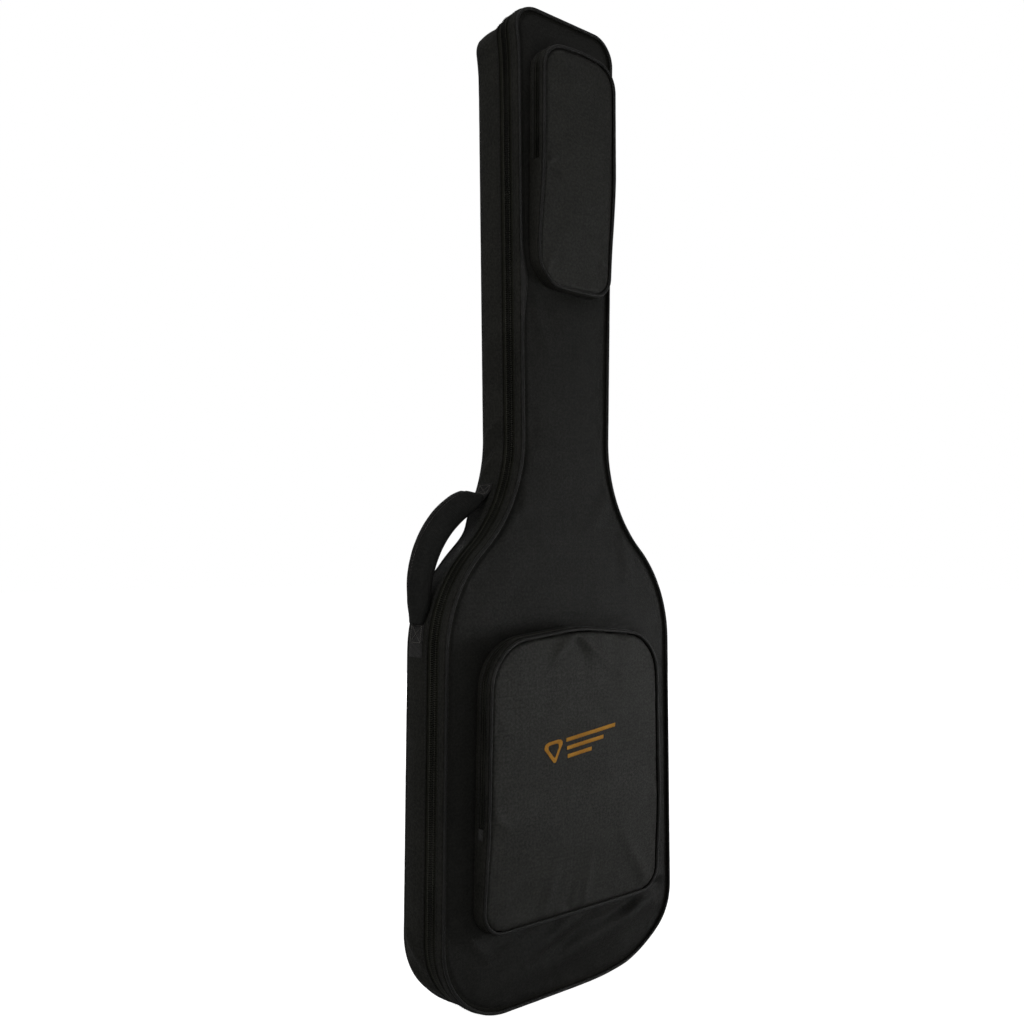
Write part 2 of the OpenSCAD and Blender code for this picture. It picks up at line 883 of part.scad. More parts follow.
module strap_low_anchors() {
    w = strap_web_w + 2 * anchor_side;
    color("#222222")
        for (side = [-1, 1])
            on_strap(side)
                translate([-w / 2, -strap_gap, -norm(strap_run) - anchor_h / 2])
                    cube([w, anchor_t, anchor_h / 2]);
}

// Pad with a short webbing loop around the first bar of its ladder lock.
module strap_pad(side) {
    loop_l = lock_drop + lock_bar + lock_slot / 2;
    color("#202020")
        intersection() {
            on_strap(side) {
                translate([-pad_w / 2, 0, -pad_length])
                    cube([pad_w, pad_t, pad_length + pad_w]);
                for (y = [0, lock_high_y])
                    translate([-strap_web_w / 2, y, -pad_length - loop_l])
                        cube([strap_web_w, strap_web_t, loop_l]);
                translate([-strap_web_w / 2, 0, -pad_length - loop_l])
                    cube([strap_web_w, lock_high_y + strap_web_t, strap_web_t]);
            }
            translate([-big / 2, -big / 2, strap_top - big])
                cube(big);
        }
}

// Flat frame with two slots and three bars.
module ladder_lock(side) {
    w = strap_web_w + 2 * lock_rail;
    h = 3 * lock_bar + 2 * lock_slot;
    color("#2a2a2c")
        on_strap(side)
            translate([0, lock_low_y, lock_z])
                slab(0, lock_bar)
                    difference() {
                        translate([-w / 2, -h]) square([w, h]);
                        for (i = [1, 2])
                            translate([-strap_web_w / 2 - lock_play, -i * slot_pitch])
                                square([strap_web_w + 2 * lock_play, lock_slot]);
                    }
}

// Webbing from the lower anchor up under the last bar, over it, and back as a loose end.
module strap_webbing(side) {
    turn_z = lock_z - 2 * slot_pitch + lock_slot / 2;
    color("#1d1d1d")
        on_strap(side) {
            translate([-strap_web_w / 2, 0, -norm(strap_run)])
                cube([strap_web_w, strap_web_t, norm(strap_run) + turn_z]);
            translate([-strap_web_w / 2, lock_high_y, turn_z - tail_l])
                cube([strap_web_w, strap_web_t, tail_l]);
            translate([-strap_web_w / 2, 0, turn_z - strap_web_t])
                cube([strap_web_w, lock_high_y + strap_web_t, strap_web_t]);
        }
}

module left_strap_pad() { strap_pad(-1); }
module right_strap_pad() { strap_pad(1); }
module left_ladder_lock() { ladder_lock(-1); }
module right_ladder_lock() { ladder_lock(1); }
module left_strap_webbing() { strap_webbing(-1); }
module right_strap_webbing() { strap_webbing(1); }

back_cover();
back_foam();
back_lining();
rear_gusset_cover();
rear_gusset_foam();
rear_gusset_lining();
back_piping();
rear_zip_tape();
rear_zip_coil();
rear_zip_tabs();
front_cover();
front_foam();
front_lining();
front_strip();
front_piping();
front_zip_tape();
front_zip_coil();
front_zip_tabs();
upper_slider();
upper_pull();
lower_slider();
lower_pull();
head_pocket_gusset();
head_pouch_panel();
head_pouch_piping();
head_zip_rear();
head_zip_tabs();
head_flap_panel();
head_flap_gusset();
head_flap_piping();
head_zip_front();
head_slider();
head_pull();
music_pocket_gusset();
music_pouch_panel();
music_pouch_piping();
music_zip_rear();
music_zip_tabs();
music_flap_panel();
music_flap_gusset();
music_flap_piping();
music_zip_front();
music_slider();
music_pull();
embroidery();
handle_anchors();
handle_webbing();
handle_grip();
strap_top_anchor();
strap_low_anchors();
left_strap_pad();
right_strap_pad();
left_ladder_lock();
right_ladder_lock();
left_strap_webbing();
right_strap_webbing();
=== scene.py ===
import math

import bpy
import numpy as np
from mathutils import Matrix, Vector, noise
from mathutils.bvhtree import BVHTree


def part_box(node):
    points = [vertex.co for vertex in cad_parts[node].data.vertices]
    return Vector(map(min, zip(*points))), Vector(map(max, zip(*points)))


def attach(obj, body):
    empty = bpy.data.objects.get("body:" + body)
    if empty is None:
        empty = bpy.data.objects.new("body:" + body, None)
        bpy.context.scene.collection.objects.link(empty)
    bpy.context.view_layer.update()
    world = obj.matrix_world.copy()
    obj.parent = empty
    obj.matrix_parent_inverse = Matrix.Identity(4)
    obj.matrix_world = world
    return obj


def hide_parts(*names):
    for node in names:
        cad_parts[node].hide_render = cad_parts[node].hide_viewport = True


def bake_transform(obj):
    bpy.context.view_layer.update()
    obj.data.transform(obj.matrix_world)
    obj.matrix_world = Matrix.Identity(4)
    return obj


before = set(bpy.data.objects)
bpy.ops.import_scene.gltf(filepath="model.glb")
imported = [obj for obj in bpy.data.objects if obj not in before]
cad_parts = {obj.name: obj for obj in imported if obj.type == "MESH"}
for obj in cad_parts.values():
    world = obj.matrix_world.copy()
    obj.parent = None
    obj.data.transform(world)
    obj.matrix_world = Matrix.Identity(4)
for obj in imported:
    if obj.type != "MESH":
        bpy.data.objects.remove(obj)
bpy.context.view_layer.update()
print("frame loaded:", len(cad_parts), "nodes")

mm = 0.001

# camera
view = dict(place=(-0.9414, -0.99425, 0.5398), turn=-41.4, lens=38.2, sensor=36, lift=0.0417)

bpy.ops.object.select_all(action="DESELECT")
bpy.ops.object.camera_add(location=view["place"], rotation=(math.radians(90), 0, math.radians(view["turn"])))
eye = bpy.context.object
eye.name = "camera"
eye.data.sensor_width = view["sensor"]
eye.data.lens = view["lens"]
eye.data.shift_y = view["lift"]
bpy.context.scene.camera = eye
bpy.context.scene.view_settings.view_transform = "Standard"

# planes and edges of the bag, in metres
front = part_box("front_cover")[0].y
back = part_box("back_cover")[1].y
zipLine = (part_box("front_zip_coil")[1].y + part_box("rear_zip_coil")[0].y) / 2
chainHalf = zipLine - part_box("front_zip_coil")[0].y
tapeShow = 5 * mm
lidEdge = zipLine - chainHalf - tapeShow    # where the lid's wall ends
trayEdge = zipLine + chainHalf + tapeShow   # where the tray's wall begins
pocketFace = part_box("music_pouch_panel")[0].y

# corners as x, z and radius, upwards on the right side; the fabric hinge is between the two heights below
bagCorners = [(0.1965, 0.0, 0.095), (0.189, 0.498, 0.165), (0.073, 0.604, 0.180), (0.082, 1.2, 0.034)]
hingeLow, hingeHigh = 0.130, 0.390

# pockets; each crease has its strong end's x and z, its weak end's x and z, then width and rise in mm
headPocket = dict(
    name="head", half=0.064, taper=0.002, low=0.862, high=1.156, crown=0.005,
    lowRadius=0.028, highRadius=0.034, fold=1.012, shallow=0.62, voxel=3 * mm, cap=4.5 * mm, seed=3.1,
    creases=[
        (-0.058, 1.012, -0.020, 0.985, 5.1, -2.8), (-0.060, 1.000, -0.030, 1.030, 4.2, 2.1),
        (-0.045, 1.150, 0.000, 1.100, 7.6, 2.4), (0.058, 0.900, 0.015, 0.935, 6.0, 2.6),
        (0.050, 0.878, 0.030, 0.930, 4.2, -2.1), (-0.055, 0.875, -0.030, 0.915, 5.1, 2.3),
    ],
)
musicPocket = dict(
    name="music", half=0.151, taper=0.008, low=0.100, high=0.452, crown=0.014,
    lowRadius=0.032, highRadius=0.062, fold=0.227, shallow=0.75, voxel=4 * mm, cap=6 * mm, seed=7.7,
    creases=[
        (-0.012, 0.446, -0.062, 0.398, 7.6, 3.9), (-0.008, 0.446, 0.072, 0.388, 8.5, 3.5),
        (-0.006, 0.440, 0.012, 0.385, 10.2, -2.8), (0.080, 0.425, 0.060, 0.330, 13.6, 2.1),
        (-0.062, 0.104, -0.030, 0.190, 8.5, 3.0), (0.010, 0.104, 0.022, 0.180, 7.6, 2.6),
        (-0.020, 0.104, -0.006, 0.150, 6.0, -2.3), (0.120, 0.125, 0.070, 0.190, 9.3, 3.1),
        (-0.135, 0.120, -0.090, 0.170, 7.6, 2.6), (-0.148, 0.250, -0.110, 0.215, 6.8, 2.1),
    ],
)


# helpers for objects and their points
def deselectAll():
    if bpy.context.object and bpy.context.object.mode != "OBJECT":
        bpy.ops.object.mode_set(mode="OBJECT")
    bpy.ops.object.select_all(action="DESELECT")


def pick(*objs):
    deselectAll()
    for obj in objs:
        obj.select_set(True)
    bpy.context.view_layer.objects.active = objs[0]


def named(obj, name):
    obj.name = name
    obj.data.name = name
    return obj


def placed(obj):
    # moves the object's place into its mesh
    pick(obj)
    bpy.ops.object.transform_apply(location=True, rotation=True, scale=True)
    return obj


def joined(name, *objs):
    pick(*objs)
    if len(objs) > 1:
        bpy.ops.object.join()
    return named(bpy.context.object, name)


def useModifier(obj, kind, **values):
    pick(obj)
    modifier = obj.modifiers.new(kind.title(), kind)
    for key, value in values.items():
        setattr(modifier, key, value)
    bpy.ops.object.modifier_apply(modifier=modifier.name)
    return obj


def editMesh(obj, *steps):
    # runs edit-mode steps on the whole mesh
    pick(obj)
    bpy.ops.object.mode_set(mode="EDIT")
    bpy.ops.mesh.select_mode(type="VERT")
    bpy.ops.mesh.select_all(action="SELECT")
    for step in steps:
        step()
    bpy.ops.object.mode_set(mode="OBJECT")
    return obj


def flipFaces():
    bpy.ops.mesh.flip_normals()


def facesOut():
    bpy.ops.mesh.normals_make_consistent(inside=False)


def mergePoints():
    bpy.ops.mesh.remove_doubles(threshold=1e-5)


def points(obj):
    co = np.empty(len(obj.data.vertices) * 3)
    obj.data.vertices.foreach_get("co", co)
    return co.reshape(-1, 3)


def setPoints(obj, co):
    obj.data.vertices.foreach_set("co", np.ascontiguousarray(co, dtype=np.float32).ravel())
    obj.data.update()
    return obj


def pointNormals(obj):
    directions = np.empty(len(obj.data.vertices) * 3)
    obj.data.vertices.foreach_get("normal", directions)
    return directions.reshape(-1, 3)


def clothUv(obj, across=0, upwards=1):
    # a UV map in metres, from two of the mesh's own axes
    layer = obj.data.uv_layers.active or obj.data.uv_layers.new(name="clothUv")
    layer.name = "clothUv"
    corners = np.empty(len(obj.data.loops), dtype=np.int32)
    obj.data.loops.foreach_get("vertex_index", corners)
    uv = points(obj)[corners][:, [across, upwards]]
    layer.data.foreach_set("uv", uv.astype(np.float32).ravel())
    return obj


def widenUv(obj, size):
    # a tube's rows are made from 0 to 1, so its UV map is stretched to metres
    for item in obj.data.uv_layers.active.data:
        item.uv.y *= size


def ramp(value, low, high):
    t = np.clip((value - low) / (high - low), 0, 1)
    return t * t * (3 - 2 * t)


def waves(co, size, seed=0.0):
    # soft noise at each point, about -1 to 1
    shifted = co / size + np.array([seed, -seed, 2 * seed])
    return np.array([noise.noise(Vector(place)) for place in shifted])


# where the filled bag leaves its cut shape: place in x and z, how far it moves, over what reach,
# and the depth up to which it does
nudges = [
    dict(x=-0.082, z=1.200, dx=-7 * mm, dz=0.0, reach=38 * mm, before=back),
    dict(x=0.150, z=0.010, dx=0.0, dz=13 * mm, reach=62 * mm, before=back),
    dict(x=-0.066, z=0.862, dx=7 * mm, dz=7 * mm, reach=30 * mm, before=front),
]
waistTuck = dict(z=0.545, tall=40 * mm, shift=11 * mm)
headDrop = dict(shift=10 * mm, low=1.10, high=1.19)


def slack(obj):
    # moves a piece's points as the filled bag would: rounded corners, a tucked waist, a low rear edge
    co = points(obj)
    moved = co.copy()
    for n in nudges:
        share = np.exp(-((co[:, 0] - n["x"]) ** 2 + (co[:, 2] - n["z"]) ** 2) / n["reach"] ** 2)
        share *= ramp(n["before"] + 3 * mm - co[:, 1], 0, 3 * mm)
        moved[:, 0] += n["dx"] * share
        moved[:, 2] += n["dz"] * share
    tuck = np.exp(-((co[:, 2] - waistTuck["z"]) / waistTuck["tall"]) ** 4) * ramp(-co[:, 0], 0.070, 0.120)
    moved[:, 0] += waistTuck["shift"] * tuck * ramp(co[:, 1], 4 * mm, back)
    drop = ramp(co[:, 2], headDrop["low"], headDrop["high"]) * ramp(-co[:, 0], -0.080, 0.0)
    moved[:, 2] -= headDrop["shift"] * drop * ramp(co[:, 1], zipLine + 2 * mm, zipLine + 24 * mm)
    return setPoints(obj, moved)


def finish(obj, material, body, stands=(), angle=40, loose=True):
    if loose:
        slack(obj)
    obj.data.materials.clear()
    obj.data.materials.append(material)
    pick(obj)
    bpy.ops.object.shade_smooth_by_angle(angle=math.radians(angle))
    if isinstance(body, dict):
        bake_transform(obj)
    else:
        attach(obj, body)
    if stands:
        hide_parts(*stands)
    return obj


# outlines
def bothSides(corners):
    return corners + [(-x, z, r) for x, z, r in reversed(corners)]


def pocketCorners(p):
    shoulder = (p["half"] - p["taper"], p["high"] - p["crown"], p["highRadius"])
    right = [(p["half"], p["low"], p["lowRadius"]), shoulder]
    left = [(-x, z, r) for x, z, r in reversed(right)]
    return right + [(0.0, p["high"], p["highRadius"] * 4)] + left


def makePath(places, normals, closed=False, steps=0):
    gaps = np.linalg.norm(np.diff(places, axis=0), axis=1)
    lengths = np.concatenate([[0], np.cumsum(gaps)])
    return dict(places=places, normals=normals, lengths=lengths, total=lengths[-1], closed=closed, steps=steps)


def tracePath(corners, inset=0.0, steps=24):
    # a rounded outline, counter-clockwise from the lower right corner, with its outward normals
    places, normals = [], []
    flat = [np.array(c[:2]) for c in corners]
    for i, (x, z, radius) in enumerate(corners):
        before, at, after = flat[i - 1], flat[i], flat[(i + 1) % len(flat)]
        u = (before - at) / np.linalg.norm(before - at)
        v = (after - at) / np.linalg.norm(after - at)
        half = math.acos(float(u @ v)) / 2
        side = 1 if u[1] * v[0] > u[0] * v[1] else -1
        centre = at + (u + v) / np.linalg.norm(u + v) * radius / math.sin(half)
        first = math.atan2(u[0], -u[1])
        for k in range(steps + 1):
            a = first + side * (math.pi - 2 * half) * k / steps
            normal = np.array([math.cos(a), math.sin(a)])
            places.append(centre + (side * radius - inset) * normal)
            normals.append(normal)
    places.append(places[0])
    normals.append(normals[0])
    return makePath(np.array(places), np.array(normals), closed=True, steps=steps)


def pathThrough(places, gap=2 * mm):
    # an open path through points, evenly spaced and slightly smoothed
    places = np.array(places)
    lengths = np.concatenate([[0], np.cumsum(np.linalg.norm(np.diff(places, axis=0), axis=1))])
    s = np.linspace(0, lengths[-1], max(3, round(lengths[-1] / gap)))
    even = np.stack([np.interp(s, lengths, places[:, i]) for i in (0, 1)], 1)
    for _ in range(6):
        even[1:-1] = (even[:-2] + 2 * even[1:-1] + even[2:]) / 4
    run = np.gradient(even, axis=0)
    run /= np.linalg.norm(run, axis=1)[:, None]
    return makePath(even, np.stack([run[:, 1], -run[:, 0]], 1))


def lengthAt(path, z, side=1):
    # distance along the path to a height on its straight right side, or on the left one
    n = path["steps"] + 1
    low, high = n - 1, n
    if side < 0:
        last = len(path["places"]) - 1
        low, high = last - n, last - n - 1
    a, b = path["places"][low], path["places"][high]
    share = (z - a[1]) / (b[1] - a[1])
    return path["lengths"][low] + share * (path["lengths"][high] - path["lengths"][low])


def along(path, s):
    if path["closed"]:
        s = np.mod(s, path["total"])
    place = [np.interp(s, path["lengths"], path["places"][:, i]) for i in (0, 1)]
    normal = [np.interp(s, path["lengths"], path["normals"][:, i]) for i in (0, 1)]
    size = np.hypot(*normal)
    return place[0], place[1], normal[0] / size, normal[1] / size


def wrap(obj, path, start=0.0):
    # lays a flat strip round a path: x runs along it, y is the depth, z points outwards
    co = points(obj)
    px, pz, nx, nz = along(path, co[:, 0] + start)
    setPoints(obj, np.stack([px + nx * co[:, 2], co[:, 1], pz + nz * co[:, 2]], 1))
    return editMesh(obj, flipFaces, mergePoints)


def layOnBack(obj, path, depth, start=0.0):
    # lays a flat strip on a rear face: x runs along the path, y is across it, z points backwards
    co = points(obj)
    px, pz, nx, nz = along(path, co[:, 0] + start)
    setPoints(obj, np.stack([px + nx * co[:, 1], depth + co[:, 2], pz + nz * co[:, 1]], 1))
    return editMesh(obj, flipFaces, mergePoints)


def edgeDistance(xz, corners):
    # distance inwards from an outline, negative outside it
    path = tracePath(corners, steps=12)
    best = np.full(len(xz), 1e9)
    inside = np.zeros(len(xz), dtype=bool)
    for p, q in zip(path["places"][:-1], path["places"][1:]):
        d = q - p
        t = np.clip(((xz - p) @ d) / max(d @ d, 1e-12), 0, 1)
        best = np.minimum(best, np.hypot(*(xz - p - t[:, None] * d).T))
        if p[1] != q[1]:
            crosses = (p[1] > xz[:, 1]) != (q[1] > xz[:, 1])
            inside ^= crosses & (xz[:, 0] < p[0] + (xz[:, 1] - p[1]) * (q[0] - p[0]) / (q[1] - p[1]))
    return np.where(inside, best, -best)


bagOutline = bothSides(bagCorners)
bagPath = tracePath(bagOutline)


# node helpers
def feed(tree, socket, value):
    if isinstance(value, bpy.types.NodeSocket):
        tree.links.new(value, socket)
    else:
        socket.default_value = value


def calc(tree, operation, *values):
    node = tree.nodes.new("ShaderNodeMath")
    node.operation = operation
    for socket, value in zip(node.inputs, values):
        feed(tree, socket, value)
    return node.outputs[0]


def splitPlace(tree, place):
    node = tree.nodes.new("ShaderNodeSeparateXYZ")
    feed(tree, node.inputs[0], place)
    return node.outputs


def noiseAt(tree, place, scale, detail=2.0, stretch=(1, 1, 1)):
    spread = tree.nodes.new("ShaderNodeMapping")
    feed(tree, spread.inputs["Vector"], place)
    spread.inputs["Scale"].default_value = stretch
    node = tree.nodes.new("ShaderNodeTexNoise")
    feed(tree, node.inputs["Vector"], spread.outputs[0])
    node.inputs["Scale"].default_value = scale
    node.inputs["Detail"].default_value = detail
    return node.outputs["Fac"]


def between(tree, value, fromLow, fromHigh, toLow=0.0, toHigh=1.0):
    node = tree.nodes.new("ShaderNodeMapRange")
    for socket, term in zip(node.inputs, (value, fromLow, fromHigh, toLow, toHigh)):
        feed(tree, socket, term)
    return node.outputs[0]


def mixColour(tree, factor, first, second):
    node = tree.nodes.new("ShaderNodeMix")
    node.data_type = "RGBA"
    for i, term in ((0, factor), (6, first), (7, second)):
        feed(tree, node.inputs[i], term)
    return node.outputs[2]


def bumpFrom(tree, height, distance, strength=1.0, normal=None):
    node = tree.nodes.new("ShaderNodeBump")
    feed(tree, node.inputs["Height"], height)
    node.inputs["Distance"].default_value = distance
    node.inputs["Strength"].default_value = strength
    if normal:
        feed(tree, node.inputs["Normal"], normal)
    return node.outputs[0]


def startGroup(name, inputs, outputs):
    tree = bpy.data.node_groups.new(name, "ShaderNodeTree")
    for label, kind in inputs.items():
        tree.interface.new_socket(name=label, in_out="INPUT", socket_type="NodeSocket" + kind)
    for label in outputs:
        tree.interface.new_socket(name=label, in_out="OUTPUT", socket_type="NodeSocketFloat")
    return tree, tree.nodes.new("NodeGroupInput").outputs, tree.nodes.new("NodeGroupOutput").inputs


def useGroup(tree, group, **values):
    node = tree.nodes.new("ShaderNodeGroup")
    node.node_tree = group
    for label, value in values.items():
        feed(tree, node.inputs[label], value)
    return node.outputs


def startMaterial(name, **fixed):
    # fixed values go straight to the shader's own sockets
    material = bpy.data.materials.new(name)
    material.use_nodes = True
    tree = material.node_tree
    shader = tree.nodes["Principled BSDF"]
    for label, value in fixed.items():
        shader.inputs[label.replace("_", " ")].default_value = value
    return material, tree, shader


def objectPlace(tree):
    return tree.nodes.new("ShaderNodeTexCoord").outputs["Object"]


def facePlace(tree):
    # the bag's own width and height, for cloth that faces forwards or backwards
    x, y, z = splitPlace(tree, objectPlace(tree))
    node = tree.nodes.new("ShaderNodeCombineXYZ")
    feed(tree, node.inputs[0], x)
    feed(tree, node.inputs[1], z)
    return node.outputs[0]


def stripPlace(tree):
    node = tree.nodes.new("ShaderNodeUVMap")
    node.uv_map = "clothUv"
    return node.outputs[0]


# shared effects
def roundRow(tree, run, pitch):
    # a row of rounded ridges, 0 to 1, and the number of the ridge
    count = calc(tree, "DIVIDE", run, pitch)
    ridge = calc(tree, "ABSOLUTE", calc(tree, "SINE", calc(tree, "MULTIPLY", count, math.pi)))
    return ridge, calc(tree, "FLOOR", count)


def oneTone(tree, number, shift):
    node = tree.nodes.new("ShaderNodeTexWhiteNoise")
    node.noise_dimensions = "1D"
    feed(tree, node.inputs["W"], calc(tree, "ADD", number, shift))
    return node.outputs["Value"]


def buildWeave():
    tree, given, made = startGroup("plainWeave", {"Place": "Vector", "Pitch": "Float"}, ["Height", "Thread"])
    x, y, z = splitPlace(tree, given["Place"])
    warp, warpNumber = roundRow(tree, x, given["Pitch"])
    weft, weftNumber = roundRow(tree, y, given["Pitch"])
    over = calc(tree, "ABSOLUTE", calc(tree, "MODULO", calc(tree, "ADD", warpNumber, weftNumber), 2.0))
    under = calc(tree, "SUBTRACT", 1.0, over)
    warpHeight = calc(tree, "MULTIPLY", warp, calc(tree, "MULTIPLY_ADD", weft, 0.45, 0.55))
    weftHeight = calc(tree, "MULTIPLY", weft, calc(tree, "MULTIPLY_ADD", warp, 0.45, 0.55))
    onTop, below = calc(tree, "MULTIPLY", over, warpHeight), calc(tree, "MULTIPLY", under, weftHeight)
    warpTone = calc(tree, "MULTIPLY", over, oneTone(tree, warpNumber, 11.0))
    weftTone = calc(tree, "MULTIPLY", under, oneTone(tree, weftNumber, 53.0))
    slub = between(tree, noiseAt(tree, given["Place"], 330.0, 2.5), 0.40, 0.62)
    feed(tree, made["Height"], calc(tree, "ADD", onTop, below))
    tone = calc(tree, "ADD", warpTone, weftTone)
    feed(tree, made["Thread"], calc(tree, "MULTIPLY_ADD", tone, 0.35, calc(tree, "MULTIPLY", slub, 0.65)))
    return tree


def buildTwill():
    # tape: fine ridges that lean across the strip
    tree, given, made = startGroup("tapeTwill", {"Place": "Vector", "Pitch": "Float"}, ["Height", "Thread"])
    x, y, z = splitPlace(tree, given["Place"])
    slanted, number = roundRow(tree, calc(tree, "ADD", x, calc(tree, "MULTIPLY", y, 0.6)), given["Pitch"])
    cross, crossNumber = roundRow(tree, y, given["Pitch"])
    feed(tree, made["Height"], calc(tree, "MULTIPLY", slanted, calc(tree, "MULTIPLY_ADD", cross, 0.35, 0.65)))
    feed(tree, made["Thread"], oneTone(tree, number, 7.0))
    return tree


def buildWear():
    # dust in patches, lint specks and slow changes of tone
    tree, given, made = startGroup("dustAndWear", {"Place": "Vector"}, ["Dust", "Lint", "Patch"])
    large = noiseAt(tree, given["Place"], 7.0, 3.0)
    small = noiseAt(tree, given["Place"], 70.0, 4.0)
    dust = calc(tree, "MULTIPLY", between(tree, large, 0.42, 0.70), between(tree, small, 0.40, 0.75))
    feed(tree, made["Dust"], dust)
    feed(tree, made["Lint"], between(tree, noiseAt(tree, given["Place"], 420.0, 1.0, (1, 1, 0.35)), 0.72, 0.78))
    feed(tree, made["Patch"], between(tree, noiseAt(tree, given["Place"], 22.0, 3.0), 0.3, 0.7))
    return tree


plainWeave = buildWeave()
tapeTwill = buildTwill()
dustAndWear = buildWear()


def clothMaterial(name, look):
    material, tree, shader = startMaterial(
        name, Sheen_Weight=look["sheen"], Sheen_Roughness=look["sheenRough"], Sheen_Tint=look["sheenTint"],
        Specular_IOR_Level=look["gloss"])
    own = stripPlace(tree) if look["strip"] else facePlace(tree)
    around = objectPlace(tree)
    weave = useGroup(tree, look["weave"], Place=own, Pitch=look["pitch"])
    wear = useGroup(tree, dustAndWear, Place=around)
    # painted shade: the weave's raised threads are painted lighter and the gaps between them darker; the thread
    # tone and the slow patches added next are the cloth's own random tone
    tone = calc(tree, "MULTIPLY", weave["Height"], 0.25)
    tone = calc(tree, "MULTIPLY_ADD", weave["Thread"], 0.55, tone)
    tone = calc(tree, "MULTIPLY_ADD", wear["Patch"], 0.20, tone)
    colour = mixColour(tree, tone, look["dark"], look["light"])
    colour = mixColour(tree, calc(tree, "MULTIPLY", wear["Dust"], look["dusty"]), colour, look["dust"])
    colour = mixColour(tree, calc(tree, "MULTIPLY", wear["Lint"], look["linty"]), colour, look["dust"])
    feed(tree, shader.inputs["Base Color"], colour)
    rough = between(tree, weave["Height"], 0.0, 1.0, look["rough"] + 0.10, look["rough"] - 0.06)
    rough = calc(tree, "MULTIPLY_ADD", weave["Thread"], -0.16, rough)
    feed(tree, shader.inputs["Roughness"], calc(tree, "MULTIPLY_ADD", wear["Dust"], 0.12, rough))
    ripple = bumpFrom(tree, noiseAt(tree, around, look["rippleScale"], 3.0), look["ripple"])
    threads = bumpFrom(tree, weave["Height"], look["pitch"] * look["relief"], 0.8, ripple)
    feed(tree, shader.inputs["Normal"], threads)
    return material


def grey(value, warm=0.0):
    return (value * (1 + warm), value, value * (1 - warm), 1.0)


cover = dict(
    strip=False, weave=plainWeave, pitch=0.75 * mm, relief=0.30, dark=(0.0026, 0.0027, 0.0020, 1),
    light=(0.0135, 0.0135, 0.0110, 1), dust=grey(0.060, 0.06), dusty=0.16, linty=0.10, rough=0.60, gloss=0.18,
    sheen=0.035, sheenRough=0.40, sheenTint=grey(0.75), ripple=0.5 * mm, rippleScale=95.0,
)


def variedCloth(name, **changes):
    # the cover's cloth with some of its values changed
    return clothMaterial(name, {**cover, **changes})


coverCloth = variedCloth("coverCloth")
pocketCloth = variedCloth(
    "pocketCloth", dark=(0.0052, 0.0053, 0.0045, 1), light=(0.0345, 0.0345, 0.0292, 1), gloss=0.22)
wallCloth = variedCloth(
    "wallCloth", strip=True, light=(0.0235, 0.0232, 0.0190, 1), rippleScale=60.0, sheen=0.01, gloss=0.12)
pipingCloth = variedCloth(
    "pipingCloth", strip=True, pitch=0.55 * mm, rough=0.46, gloss=0.26, light=(0.0075, 0.0075, 0.0062, 1),
    ripple=0.25 * mm, rippleScale=260.0, dusty=0.30)
zipTape = variedCloth(
    "zipTape", strip=True, weave=tapeTwill, pitch=0.60 * mm, dark=(0.0040, 0.0042, 0.0026, 1),
    light=(0.0165, 0.0168, 0.0112, 1), rough=0.72, gloss=0.10, sheen=0.01, ripple=0.1 * mm)
pocketTape = variedCloth(
    "pocketTape", strip=True, weave=tapeTwill, pitch=1.10 * mm, relief=0.40, dark=(0.0042, 0.0043, 0.0034, 1),
    light=(0.0190, 0.0190, 0.0155, 1), rough=0.68, gloss=0.14)
lining = dict(
    pitch=0.45 * mm, dark=grey(0.016), light=grey(0.034), rough=0.55, gloss=0.50, sheen=0.20, dusty=0.10)
liningCloth = variedCloth("liningCloth", **lining, rippleScale=55.0, ripple=0.9 * mm)
wallLiningCloth = variedCloth("wallLiningCloth", **lining, strip=True)
webbing = dict(weave=tapeTwill, pitch=1.30 * mm, relief=0.45, rough=0.58, ripple=0.15 * mm)
webbingCloth = variedCloth(
    "webbingCloth", **webbing, strip=True, dark=grey(0.0040, 0.04), light=grey(0.0205, 0.08), sheen=0.10)
webbingFace = variedCloth("webbingFace", **webbing, dark=grey(0.0040), light=grey(0.0125))
gripCloth = variedCloth(
    "gripCloth", strip=True, pitch=0.95 * mm, relief=0.40, dark=(0.0024, 0.0025, 0.0021, 1),
    light=(0.0080, 0.0084, 0.0069, 1), rough=0.66, rippleScale=70.0, ripple=0.8 * mm)


def coilMaterial():
    material, tree, shader = startMaterial("zipCoil", Specular_IOR_Level=0.30)
    wear = useGroup(tree, dustAndWear, Place=objectPlace(tree))
    colour = mixColour(tree, wear["Patch"], (0.0095, 0.0095, 0.0078, 1), (0.0240, 0.0240, 0.0195, 1))
    dusty = calc(tree, "MULTIPLY", wear["Dust"], 0.25)
    feed(tree, shader.inputs["Base Color"], mixColour(tree, dusty, colour, grey(0.05)))
    feed(tree, shader.inputs["Roughness"], between(tree, wear["Dust"], 0.0, 1.0, 0.36, 0.62))
    return material


def threadMaterial(name, dark, light, sheen):
    material, tree, shader = startMaterial(
        name, Sheen_Weight=sheen, Sheen_Roughness=0.35, Sheen_Tint=light, Specular_IOR_Level=0.5)
    place = objectPlace(tree)
    x, y, z = splitPlace(tree, place)
    ply, number = roundRow(tree, calc(tree, "ADD", calc(tree, "MULTIPLY", x, 0.7), z), 0.45 * mm)
    wear = useGroup(tree, dustAndWear, Place=place)
    # painted shade: each ply's crown is painted lighter and the groove beside it darker, mixed with the slow
    # tone patches
    tone = calc(tree, "MULTIPLY_ADD", ply, 0.45, calc(tree, "MULTIPLY", wear["Patch"], 0.5))
    feed(tree, shader.inputs["Base Color"], mixColour(tree, tone, dark, light))
    feed(tree, shader.inputs["Roughness"], between(tree, wear["Patch"], 0.0, 1.0, 0.36, 0.52))
    feed(tree, shader.inputs["Normal"], bumpFrom(tree, ply, 0.10 * mm, 0.7))
    return material


